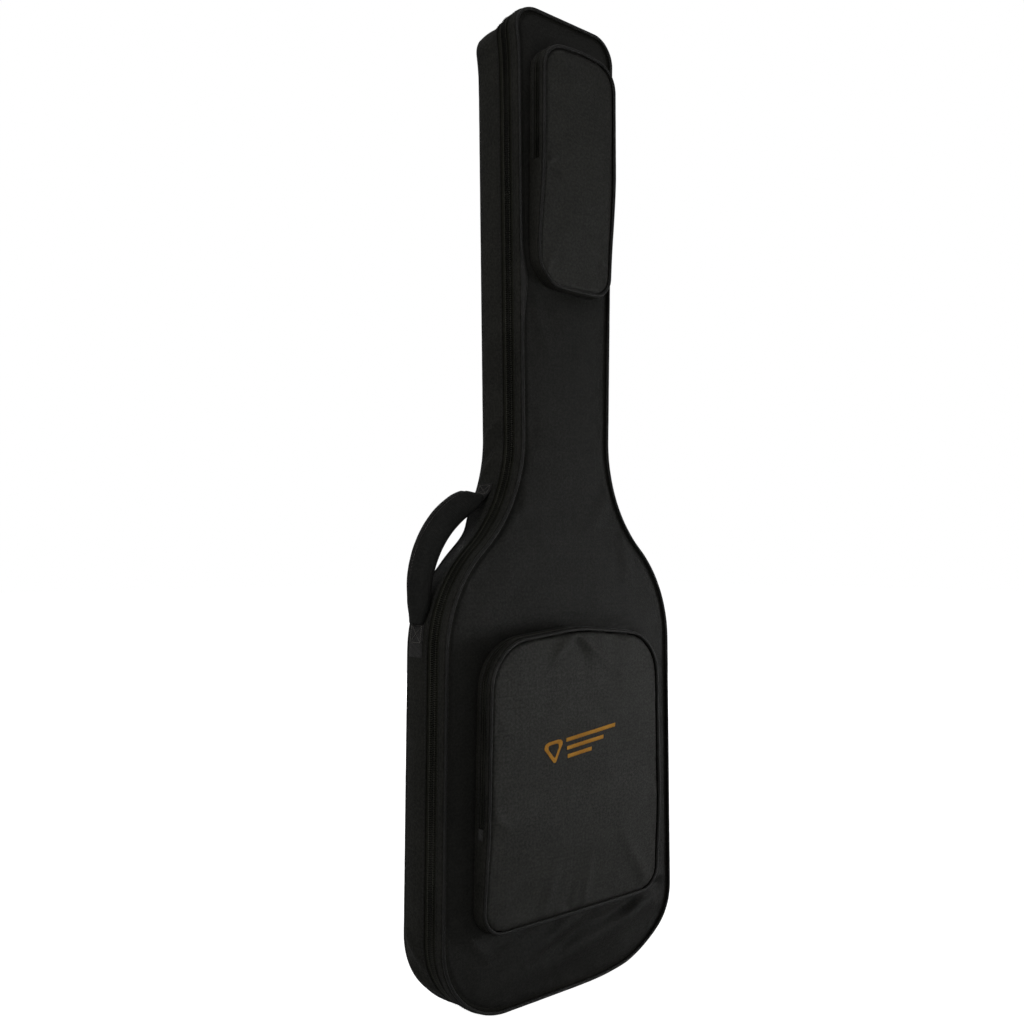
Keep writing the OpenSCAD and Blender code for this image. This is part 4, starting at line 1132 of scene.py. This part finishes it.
def makePocket(p):
    name, fold, seed = p["name"], p["fold"], p["seed"]
    corners = pocketCorners(p)
    path = tracePath(corners)
    bend = dict(a="lid", b=name + "_flap", start=(0, 0, fold - 10 * mm), end=(0, 0, fold + 10 * mm))
    rightFold, leftFold = lengthAt(path, fold, 1), lengthAt(path, fold, -1)
    lowerLength = path["total"] - leftFold + rightFold
    upperLength = leftFold - rightFold

    nodes = [name + "_pouch_panel", name + "_flap_panel"]
    look = dict(**pocketPad, **p, nodes=nodes, face=pocketFace, facing=-1)
    look["name"] = name + "PocketFront"
    panel = settle(paddedPanel(look, corners), p)
    finish(panel, pocketCloth, bend, nodes)

    cord = settle(pipingCord(name + "PocketPiping", path, pocketFace, -1, 3 * mm), p)
    finish(cord, pipingCloth, bend, [name + "_pouch_piping", name + "_flap_piping"])

    foot = front + 0.6 * mm
    seamTurn = [(pocketSeam - 0.9 * mm, -3.2 * mm), (pocketSeam - 0.4 * mm, -1.4 * mm)]
    footTurn = [(foot - 1.6 * mm, 0.0), (foot, -0.6 * mm)]
    lower = seamTurn + [
        (pocketSeam + 0.6 * mm, -0.2 * mm), (pocketSeam + 2.5 * mm, 0.3 * mm), (flapBandEdge, 0.6 * mm),
        (pocketZipLine, 0.9 * mm), (bandEdge, 0.7 * mm), (bandEdge + 3.0 * mm, 0.5 * mm)] + footTurn
    wall = wallStrip(
        name + "PocketWall", path, leftFold, lowerLength, lower, clothThick, 3 * mm, 0.7 * mm, seed)
    rear = [(bandEdge - 0.1 * mm, -1.2 * mm), (bandEdge, -0.4 * mm), (bandEdge + 0.6 * mm, 0.1 * mm),
            (bandEdge + 1.8 * mm, 0.0), (bandEdge + 4.0 * mm, 0.3 * mm)] + footTurn
    band = wallStrip(
        name + "RearBand", path, rightFold, upperLength, rear, clothThick, 3 * mm, 0.35 * mm, seed + 1)
    wall = settle(joined(name + "PocketWall", wall, band), p)
    finish(wall, wallCloth, "lid", [name + "_pocket_gusset"])

    fore = seamTurn + [
        (pocketSeam + 0.5 * mm, -0.2 * mm), (pocketSeam + 2.0 * mm, 0.2 * mm), (flapBandEdge - 1.6 * mm, 0.0),
        (flapBandEdge - 0.5 * mm, 0.1 * mm), (flapBandEdge, -0.4 * mm), (flapBandEdge + 0.1 * mm, -1.2 * mm)]
    band = wallStrip(
        name + "FlapBand", path, rightFold, upperLength, fore, clothThick, 3 * mm, 0.3 * mm, seed + 2)
    finish(band, wallCloth, bend, [name + "_flap_gusset"])

    for label, body, edge, side in (("Front", bend, pocketZipLine - pocketChainHalf, 1),
                                    ("Rear", "lid", pocketZipLine + pocketChainHalf, -1)):
        head = pocketZipLine + side * 0.25 * mm
        rows = sorted([(edge - side * 2.3 * mm, -1.9 * mm), (edge, -1.9 * mm),
                       (edge + side * 1.6 * mm, -2.0 * mm), (head, -2.1 * mm)])
        tape = wallStrip(name + label + "Tape", path, rightFold, upperLength, rows, 0.8 * mm)
        finish(tape, pocketTape, body, [name + "_zip_" + label.lower()])
        shift = 0.0 if side > 0 else pocketPitch / 2
        coil = toothRow(name + label + "Coil", upperLength, edge, head, -0.45 * mm, shift, pocketPitch, 0.72)
        editMesh(coil, facesOut)
        wrap(coil, path, rightFold)
        finish(coil, zipCoil, body, (), 50)
        thread = stitchRow(
            name + label + "Thread", upperLength, edge + side * 0.9 * mm, -0.5 * mm, pocketPitch, 0.85)
        wrap(thread, path, rightFold + shift)
        finish(thread, zipThread, body)

    tabs = []
    for side in (1, -1):
        a, b = lengthAt(path, fold - 14 * mm, side), lengthAt(path, fold - 0.6 * mm, side)
        tabs.append(tabPiece(path, min(a, b), abs(b - a), flapBandEdge, bandEdge + 1 * mm))
    tabs = settle(joined(name + "ZipTabs", *tabs), p)
    finish(tabs, webbingCloth, "lid", [name + "_zip_tabs"])

    for label, y, body in (("Lid", bandEdge + 1.6 * mm, "lid"), ("Flap", flapBandEdge - 1.5 * mm, bend)):
        row = stitchRow(name + label + "Stitches", upperLength, y, 0.35 * mm, 3.4 * mm, 0.8)
        wrap(row, path, rightFold)
        finish(row, sewingThread, body)
    print(name, "pocket sewn")
    return panel


makePocket(headPocket)
musicPanel = makePocket(musicPocket)

# sliders and pulls
for label in ("upper", "lower", "head", "music"):
    for part, edge in (("slider", 0.45 * mm), ("pull", 0.35 * mm)):
        node = label + "_" + part
        piece = softenCopy(label + part.title(), node, edge)
        finish(piece, darkMetal, node, [node], 30)
print("sliders fitted")


# embroidered badge
badge = dict(x=-5 * mm, z=0.311, tilt=7, rise=0.9 * mm, lift=0.15 * mm, pitch=0.62 * mm, thread=0.62 * mm,
             pickX=-42 * mm, pickRadius=6 * mm, pickHole=0.58, bars=3, barLength=84, barShorter=22,
             barWidth=5 * mm, barTop=10.5 * mm, barGap=10 * mm)


def surfaceOf(obj):
    faces = [list(p.vertices) for p in obj.data.polygons]
    return BVHTree.FromPolygons([v.co.copy() for v in obj.data.vertices], faces)


def frontDepthAt(tree, xs, zs):
    # depth of a surface seen from the front
    found = []
    for x, z in zip(xs, zs):
        hit = tree.ray_cast(Vector((float(x), -0.3, float(z))), Vector((0, 1, 0)))[0]
        found.append(hit.y if hit else np.nan)
    found = np.array(found)
    found[np.isnan(found)] = np.nanmean(found)
    return found


def satinThreads(spans):
    # one rounded thread for each span, given as x, low z and high z
    deselectAll()
    bpy.ops.mesh.primitive_uv_sphere_add(segments=6, ring_count=4, radius=0.5)
    seedThread = placed(bpy.context.object)
    shape = points(seedThread)
    faces = [list(p.vertices) for p in seedThread.data.polygons]
    bpy.data.objects.remove(seedThread)
    allPoints, allFaces = [], []
    for i, (x, low, high) in enumerate(spans):
        tall = high - low
        co = shape.copy()
        co[:, 0] = x + co[:, 0] * badge["thread"] * 1.25 + (co[:, 2] * 0.9 * mm)
        co[:, 1] = co[:, 1] * badge["rise"] * (0.9 + 0.2 * ((i * 37) % 10) / 10)
        co[:, 2] = (low + high) / 2 + np.sign(shape[:, 2]) * np.abs(shape[:, 2] * 2) ** 0.6 * tall / 2
        allFaces += [[v + len(shape) * i for v in face] for face in faces]
        allPoints.append(co)
    return np.concatenate(allPoints), allFaces


def badgeSpans():
    spans = []
    # plectrum: rounded triangle with its point down, as a satin border round an open middle
    pickX, radius = badge["pickX"], badge["pickRadius"]
    hull = []
    for cx, cz, r in ((-9 * mm, 6 * mm, radius), (9 * mm, 6 * mm, radius), (0, -12 * mm, radius / 2)):
        hull += [(pickX + cx + r * math.cos(a), cz + r * math.sin(a)) for a in np.linspace(0, 2 * math.pi, 24)]
    hull = np.array(hull)

    def heightSpan(shape, x):
        # lowest and highest place of the convex shape at x
        order = sorted(range(len(shape)), key=lambda k: (shape[k][0], shape[k][1]))
        cross = []
        for i in order:
            for j in order:
                (x0, z0), (x1, z1) = shape[i], shape[j]
                if x0 <= x <= x1 and x1 > x0:
                    cross.append(z0 + (z1 - z0) * (x - x0) / (x1 - x0))
        return (min(cross), max(cross)) if cross else None

    for x in np.arange(hull[:, 0].min() + 0.3 * mm, hull[:, 0].max(), badge["pitch"]):
        span = heightSpan(hull, x)
        if not span:
            continue
        inner = heightSpan((hull - [pickX, 0]) * badge["pickHole"] + [pickX, 0.6 * mm], x)
        if inner and inner[1] - inner[0] > 1.5 * mm:
            spans += [(x, span[0], inner[0]), (x, inner[1], span[1])]
        else:
            spans.append((x, span[0], span[1]))
    for i in range(badge["bars"]):
        high = badge["barTop"] - i * badge["barGap"]
        first = pickX + 22 * mm
        for x in np.arange(first, first + (badge["barLength"] - i * badge["barShorter"]) * mm, badge["pitch"]):
            spans.append((x, high - badge["barWidth"], high))
    return [s for s in spans if s[2] - s[1] > 0.5 * mm]


allPoints, allFaces = satinThreads(badgeSpans())
turn = math.radians(badge["tilt"])
x = badge["x"] + allPoints[:, 0] * math.cos(turn) - allPoints[:, 2] * math.sin(turn)
z = badge["z"] + allPoints[:, 0] * math.sin(turn) + allPoints[:, 2] * math.cos(turn)
y = frontDepthAt(surfaceOf(musicPanel), x, z) + allPoints[:, 1] - badge["lift"]
mesh = bpy.data.meshes.new("badgeThreads")
mesh.from_pydata(np.stack([x, y, z], 1).tolist(), [], allFaces)
badgeThreads = bpy.data.objects.new("badgeThreads", mesh)
bpy.context.scene.collection.objects.link(badgeThreads)
editMesh(badgeThreads, facesOut)
finish(badgeThreads, goldThread, "music_flap", ["embroidery"], 60)
print("badge stitched")

# handle
handle = dict(
    centre=(-0.063, 0.492), radius=0.124, ringFrom=104.5, ringTo=189.0, depth=25.25 * mm, width=25 * mm,
    thickness=2.2 * mm, lift=1.2 * mm, upperPatch=137 * mm, lowerPatch=147 * mm,
    gripStart=5 * mm, gripLength=192 * mm, gripWidth=35 * mm, gripThickness=11 * mm, gripEnd=1.9 * mm,
    binding=dict(out=15.2 * mm, radius=2.0 * mm, wide=1.7, gap=1 * mm),
    twist=([0.001, 0.016, 0.060, 0.150, 0.185], [0, 44, 44, 16, 0]),   # turn in degrees at these lengths
    box=dict(width=19 * mm, top=1.5 * mm, upper=15 * mm, lower=20 * mm),
)


def handlePath():
    # flat on the wall above, out along the curve, and flat on the wall again below
    outer = tracePath(bagOutline, -1.3 * mm)
    ring = [np.array(handle["centre"]) + handle["radius"] * np.array([math.cos(a), math.sin(a)])
            for a in np.radians(np.arange(handle["ringFrom"], handle["ringTo"] + 0.1, 1.0))]
    px, pz, nx, nz = along(outer, np.linspace(0, outer["total"], 3000))
    far = np.hypot(px - handle["centre"][0], pz - handle["centre"][1])
    onWall = (px < 0) & (pz > 0.40) & (pz < 0.64) & (far > handle["radius"] + 2 * mm)
    upper = onWall & (pz > 0.55) & (far < handle["upperPatch"])
    lower = onWall & (pz < 0.50) & (far < handle["lowerPatch"])
    path = pathThrough(list(zip(px[upper], pz[upper])) + ring + list(zip(px[lower], pz[lower])))
    first = np.hypot(*(path["places"] - ring[0]).T).argmin()
    path["ringStart"] = path["lengths"][first]
    return path


def twisted(obj, start):
    # turns the band about its own length, so that its rear edge stands out; start is where its curve begins
    co = points(obj)
    turn = np.radians(np.interp(co[:, 0] - start, *handle["twist"]))
    y, z = co[:, 1] - handle["depth"], co[:, 2].copy()
    co[:, 1] = handle["depth"] + y * np.cos(turn) - z * np.sin(turn)
    co[:, 2] = y * np.sin(turn) + z * np.cos(turn)
    return setPoints(obj, co)


handleRun = handlePath()
ringStart = float(handleRun["ringStart"])
halfWidth = handle["width"] / 2
rows = [handle["depth"] + t * halfWidth for t in (-1, -0.96, -0.8, -0.5, -0.17, 0.17, 0.5, 0.8, 0.96, 1)]
web = flatStrip("handleWebbing", handleRun["total"], rows, 2.5 * mm)
co = points(web)
co[:, 2] = handle["lift"] - 0.7 * mm * ramp(np.abs(co[:, 1] - handle["depth"]) / halfWidth, 0.85, 1.0)
setPoints(web, co)
useModifier(web, "SOLIDIFY", thickness=handle["thickness"], offset=-1)
twisted(web, ringStart)
wrap(web, handleRun)
finish(web, webbingCloth, "tray", ["handle_webbing", "handle_anchors"], loose=False)


def crossBox(name, path, start, length, width, middle, top, size=1.0, face=None):
    # a sewn box with a cross in it, on a strip wrapped round a path, or on the rear face at a given depth
    corners = [(0, -width / 2), (length, -width / 2), (length, width / 2), (0, width / 2)]
    rows = []
    for first, last in ((0, 1), (1, 2), (2, 3), (3, 0), (0, 2), (1, 3)):
        a, b = np.array(corners[first]), np.array(corners[last])
        run = np.linalg.norm(b - a)
        row = stitchRow("row", run, 0, 0, 2.4 * mm, size)
        co = points(row)
        t = (b - a) / run
        flat = a + co[:, [0]] * t + co[:, [1]] * np.array([-t[1], t[0]])
        setPoints(row, np.stack([flat[:, 0], middle + flat[:, 1], top + co[:, 2]], 1))
        rows.append(row)
    obj = joined(name, *rows)
    return wrap(obj, path, start) if face is None else layOnBack(obj, path, face, start)


box = handle["box"]
gripEnd = ringStart + handle["gripStart"] + handle["gripLength"]
boxes = [
    crossBox(name, handleRun, start, box[name], box["width"], handle["depth"], box["top"], size)
    for name, start, size in (("upper", 2.5 * mm, 1.3), ("lower", gripEnd + 1 * mm, 1.5))
]
finish(joined("handleStitches", *boxes), patchThread, "tray", loose=False)


def liftedOff(obj):
    # keeps the grip's ends off the wall, where the band runs onto it
    co = points(obj)
    run = handle["gripLength"]
    co[:, 2] += 3.0 * mm * ramp(co[:, 0], run - 40 * mm, run - 8 * mm)
    co[:, 2] += 1.5 * mm * ramp(12 * mm - co[:, 0], 0, 12 * mm)
    return setPoints(obj, co)


def narrowing(run, length):
    # 0.6 near the grip's ends, rising to 1 over the next 26 mm
    return 0.60 + 0.40 * np.sqrt(ramp(np.minimum(run, length - run), -2 * mm, 26 * mm))


def onHandle(obj, shift=0.0):
    # twists a flat piece, lifts its ends and wraps it on the band from the grip's beginning
    liftedOff(twisted(obj, -handle["gripStart"]))
    return wrap(obj, handleRun, ringStart + handle["gripStart"] + shift)


def sleeve(name):
    # padded grip: a lens-shaped sleeve that closes in a flat seam along its rear edge
    length, halfWide, halfThick = handle["gripLength"], handle["gripWidth"] / 2, handle["gripThickness"] / 2
    obj = flatStrip(name, length, np.linspace(0, 1, 33), 2.5 * mm)
    co = points(obj)
    turn = co[:, 1] * 2 * math.pi
    side, up = np.cos(turn), np.sin(turn)
    full = np.sqrt(ramp(np.minimum(co[:, 0], length - co[:, 0]), -4 * mm, 12 * mm))
    thick = handle["gripEnd"] + (halfThick - handle["gripEnd"]) * full
    y = np.sign(side) * np.abs(side) ** 0.75 * halfWide * narrowing(co[:, 0], length)
    z = np.sign(up) * np.abs(up) ** 0.8 * thick
    lumps = waves(np.stack([co[:, 0], y, z], 1), 16 * mm, 4.2) * 0.5 * mm
    seamFlat = 1 - 0.75 * ramp(y, halfWide - 6.0 * mm, halfWide - 4.0 * mm)
    co[:, 2] = z * seamFlat + lumps * np.sign(z) * (np.abs(side) < 0.8)
    co[:, 1] = handle["depth"] + y
    widenUv(obj, 76 * mm)
    onHandle(setPoints(obj, co))
    editMesh(obj, lambda: bpy.ops.mesh.select_non_manifold(), lambda: bpy.ops.mesh.fill_holes(sides=0))
    return editMesh(obj, facesOut)


grip = sleeve("handleGrip")
finish(grip, gripCloth, "tray", ["handle_grip"], loose=False)

binding = handle["binding"]
rimLength = handle["gripLength"] - 2 * binding["gap"]
rim = flatCord("gripBinding", rimLength, handle["depth"] + binding["out"], 0, binding["radius"], 2.5 * mm,
               binding["wide"])
editMesh(rim, facesOut)
co = points(rim)
co[:, 1] -= 14 * mm * (1 - narrowing(co[:, 0], rimLength))
onHandle(setPoints(rim, co), binding["gap"])
editMesh(rim, facesOut)
finish(rim, webbingCloth, "tray", loose=False)

row = stitchRow("gripStitches", handle["gripLength"] - 40 * mm, handle["depth"] + 12.6 * mm, 2.2 * mm, 3.6 * mm)
co = points(row)
co[:, 0] += 20 * mm
onHandle(setPoints(row, co))
finish(row, patchThread, "tray", loose=False)
print("handle sewn")

# shoulder straps
strap = dict(
    x=38 * mm, gap=0.4 * mm, top=0.650, tilt=10.34, padLength=0.340, padWidth=55 * mm, padThickness=10 * mm,
    channels=(0.085, 0.170, 0.255), webWidth=30 * mm, webThickness=1.6 * mm, run=0.5489,
    lockTop=0.354, lockLength=16 * mm, tail=95 * mm,
)


def onStrap(obj, side):
    # from the strap's own frame, down along -z, to its place on the back
    turn = math.radians(strap["tilt"]) * side
    co = points(obj)
    x = co[:, 0] * math.cos(turn) - co[:, 2] * math.sin(turn)
    z = co[:, 0] * math.sin(turn) + co[:, 2] * math.cos(turn)
    place = (x + side * strap["x"], co[:, 1] + back + strap["gap"], z + strap["top"])
    return setPoints(obj, np.stack(place, 1))


def ribbon(name, places):
    # strap webbing along a line given in depth and height
    halfWidth, thickness, step = strap["webWidth"] / 2, strap["webThickness"], 3 * mm
    path = pathThrough(places, step)
    rows = [t * halfWidth for t in (-1, -0.94, -0.6, -0.2, 0.2, 0.6, 0.94, 1)]
    obj = flatStrip(name, path["total"], rows, step)
    co = points(obj)
    co[:, 2] -= thickness * 0.35 * ramp(np.abs(co[:, 1]) / halfWidth, 0.9, 1.0)
    setPoints(obj, co)
    useModifier(obj, "SOLIDIFY", thickness=thickness, offset=0)
    co = points(obj)
    py, pz, ny, nz = along(path, co[:, 0])
    setPoints(obj, np.stack([co[:, 1], py + ny * co[:, 2], pz + nz * co[:, 2]], 1))
    return editMesh(obj, facesOut)


def padPlace(co, side):
    # how far each point is across the pad, and down it from its top
    turn = math.radians(strap["tilt"]) * side
    own = co - np.array([side * strap["x"], back, strap["top"]])
    across = own[:, 0] * math.cos(turn) + own[:, 2] * math.sin(turn)
    return across, own[:, 0] * math.sin(turn) - own[:, 2] * math.cos(turn)


def strapPad(label, side):
    obj = copyOf(label + "StrapPad", label + "_strap_pad")
    pick(obj)
    turn = math.radians(strap["tilt"]) * side
    down = Vector((math.sin(turn), 0, -math.cos(turn)))
    foot = Vector((side * strap["x"], back, strap["top"])) + down * strap["padLength"]
    bpy.ops.object.mode_set(mode="EDIT")
    bpy.ops.mesh.select_all(action="SELECT")
    # the webbing loop below the pad is made on its own
    bpy.ops.mesh.bisect(plane_co=foot, plane_no=down, clear_outer=True, use_fill=True)
    bpy.ops.object.mode_set(mode="OBJECT")
    useModifier(obj, "REMESH", mode="VOXEL", voxel_size=4 * mm)
    across, downwards = padPlace(points(obj), side)
    seam = np.abs(across) > strap["padWidth"] / 2 - 3 * mm
    swell(obj, padPressure, seam | (downwards < 4 * mm) | (downwards > strap["padLength"] - 4 * mm), 3.0 * mm)
    co = points(obj)
    co[:, 1] = np.maximum(co[:, 1], back + 0.1 * mm)
    setPoints(obj, co)
    useModifier(obj, "SUBSURF", levels=1, render_levels=1)
    co = points(obj)
    across, downwards = padPlace(co, side)
    middle = back + strap["gap"] + strap["padThickness"] / 2
    edge = np.minimum(strap["padWidth"] / 2 - np.abs(across), strap["padLength"] - downwards)
    pinch = 1 - 0.55 * (1 - ramp(edge, 1 * mm, 7 * mm))
    co[:, 1] = middle + (co[:, 1] - middle) * pinch
    channel = sum(np.exp(-((downwards - cut) / (3 * mm)) ** 2) for cut in strap["channels"])
    co[:, 1] -= np.where(co[:, 1] > middle, 1.8 * mm * channel, 0)
    co[:, 1] += np.where(co[:, 1] > middle, 0.5 * mm * waves(co, 22 * mm, 3.3 * side), 0)
    return setPoints(obj, co)


for label, side in (("left", -1), ("right", 1)):
    pad = strapPad(label, side)
    finish(pad, coverCloth, "tray", [label + "_strap_pad"])
    padEnd, lockTop = -strap["padLength"], -strap["lockTop"]
    # webbing sewn along the pad, round the ladder lock's first bar and back under the pad
    over = strap["padThickness"] + strap["webThickness"]
    padWeb = ribbon(label + "PadWebbing", [
        (over, -2 * mm), (over, padEnd + 12 * mm), (over - 3 * mm, padEnd - 1 * mm),
        (6.2 * mm, lockTop + 3 * mm), (5.8 * mm, lockTop - 2.5 * mm), (4.6 * mm, lockTop - 4.6 * mm),
        (2.4 * mm, lockTop - 5.0 * mm), (1.0 * mm, lockTop - 3.0 * mm), (1.0 * mm, lockTop + 2 * mm),
        (3.0 * mm, padEnd + 4 * mm)])
    # webbing up from the lower anchor, round the last bar, with its tail hanging outside
    lastBar = lockTop - strap["lockLength"]
    mainWeb = ribbon(label + "StrapWebbing", [
        (0.9 * mm, -strap["run"]), (0.9 * mm, lastBar - 12 * mm), (1.0 * mm, lastBar - 1 * mm),
        (2.2 * mm, lastBar + 3.0 * mm), (4.6 * mm, lastBar + 3.2 * mm), (5.9 * mm, lastBar + 1.5 * mm),
        (6.1 * mm, lastBar - 6 * mm), (4.9 * mm, lastBar - 30 * mm), (3.6 * mm, lastBar - 60 * mm),
        (3.3 * mm, lastBar - strap["tail"])])
    for web in (padWeb, mainWeb):
        onStrap(web, side)
    finish(padWeb, webbingCloth, "tray")
    finish(mainWeb, webbingCloth, "tray", [label + "_strap_webbing"])
    lock = softenCopy(label + "LadderLock", label + "_ladder_lock", 0.8 * mm)
    finish(lock, blackPlastic, "tray", [label + "_ladder_lock"], 30)
print("straps fitted")


for name, node in (("strapTopAnchor", "strap_top_anchor"), ("strapLowAnchors", "strap_low_anchors")):
    finish(softenCopy(name, node, 0.9 * mm, 2), webbingFace, "tray", [node])
boxes = []
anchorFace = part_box("strap_top_anchor")[1].y
for x in (-40 * mm, 40 * mm):
    line = pathThrough([(x - 13 * mm, 0.671), (x + 13 * mm, 0.671)])
    boxes.append(crossBox("box", line, 1 * mm, 24 * mm, 30 * mm, 0.0, 0.1 * mm, face=anchorFace))
finish(joined("anchorStitches", *boxes), patchThread, "tray")
print("anchors sewn")

# floor, light
deselectAll()
bpy.ops.mesh.primitive_plane_add(size=30, location=(0, 0, -0.3 * mm))
floor = named(bpy.context.object, "floor")
paleFloor, tree, shader = startMaterial("paleFloor")
speckle = noiseAt(tree, objectPlace(tree), 3.0, 2.0)
feed(tree, shader.inputs["Base Color"], mixColour(tree, speckle, grey(0.50), grey(0.54)))
feed(tree, shader.inputs["Roughness"], between(tree, speckle, 0, 1, 0.75, 0.9))
shader.inputs["Emission Color"].default_value = (1, 1, 1, 1)
seen = tree.nodes.new("ShaderNodeLightPath").outputs["Is Camera Ray"]
feed(tree, shader.inputs["Emission Strength"], calc(tree, "MULTIPLY", seen, 0.97))
floor.data.materials.append(paleFloor)

lamps = [
    dict(name="frontLight", place=(0.1, -2.6, 0.35), size=1.0, power=7.6),
    dict(name="sideLight", place=(-2.3, -0.6, 1.9), size=0.9, power=22),
    dict(name="rightLight", place=(2.2, -0.9, 0.3), size=0.6, power=10),
    dict(name="topLight", place=(0.2, -0.4, 3.4), size=2.0, power=5),
    dict(name="backLight", place=(2.2, 2.8, 0.8), size=1.6, power=42),
]
for lamp in lamps:
    deselectAll()
    toward = Vector((0, 0, 0.6)) - Vector(lamp["place"])
    bpy.ops.object.light_add(
        type="AREA", location=lamp["place"], rotation=toward.to_track_quat("-Z", "Y").to_euler())
    light = bpy.context.object
    light.name = lamp["name"]
    light.data.size = lamp["size"]
    light.data.energy = lamp["power"]

world = bpy.data.worlds.new("studio")
bpy.context.scene.world = world
world.use_nodes = True
sky = world.node_tree.nodes["Background"]
sky.inputs["Color"].default_value = (1, 1, 1, 1)
seen = world.node_tree.nodes.new("ShaderNodeLightPath").outputs["Is Camera Ray"]
feed(world.node_tree, sky.inputs["Strength"], between(world.node_tree, seen, 0, 1, 0.20, 1.0))
print("studio lit")
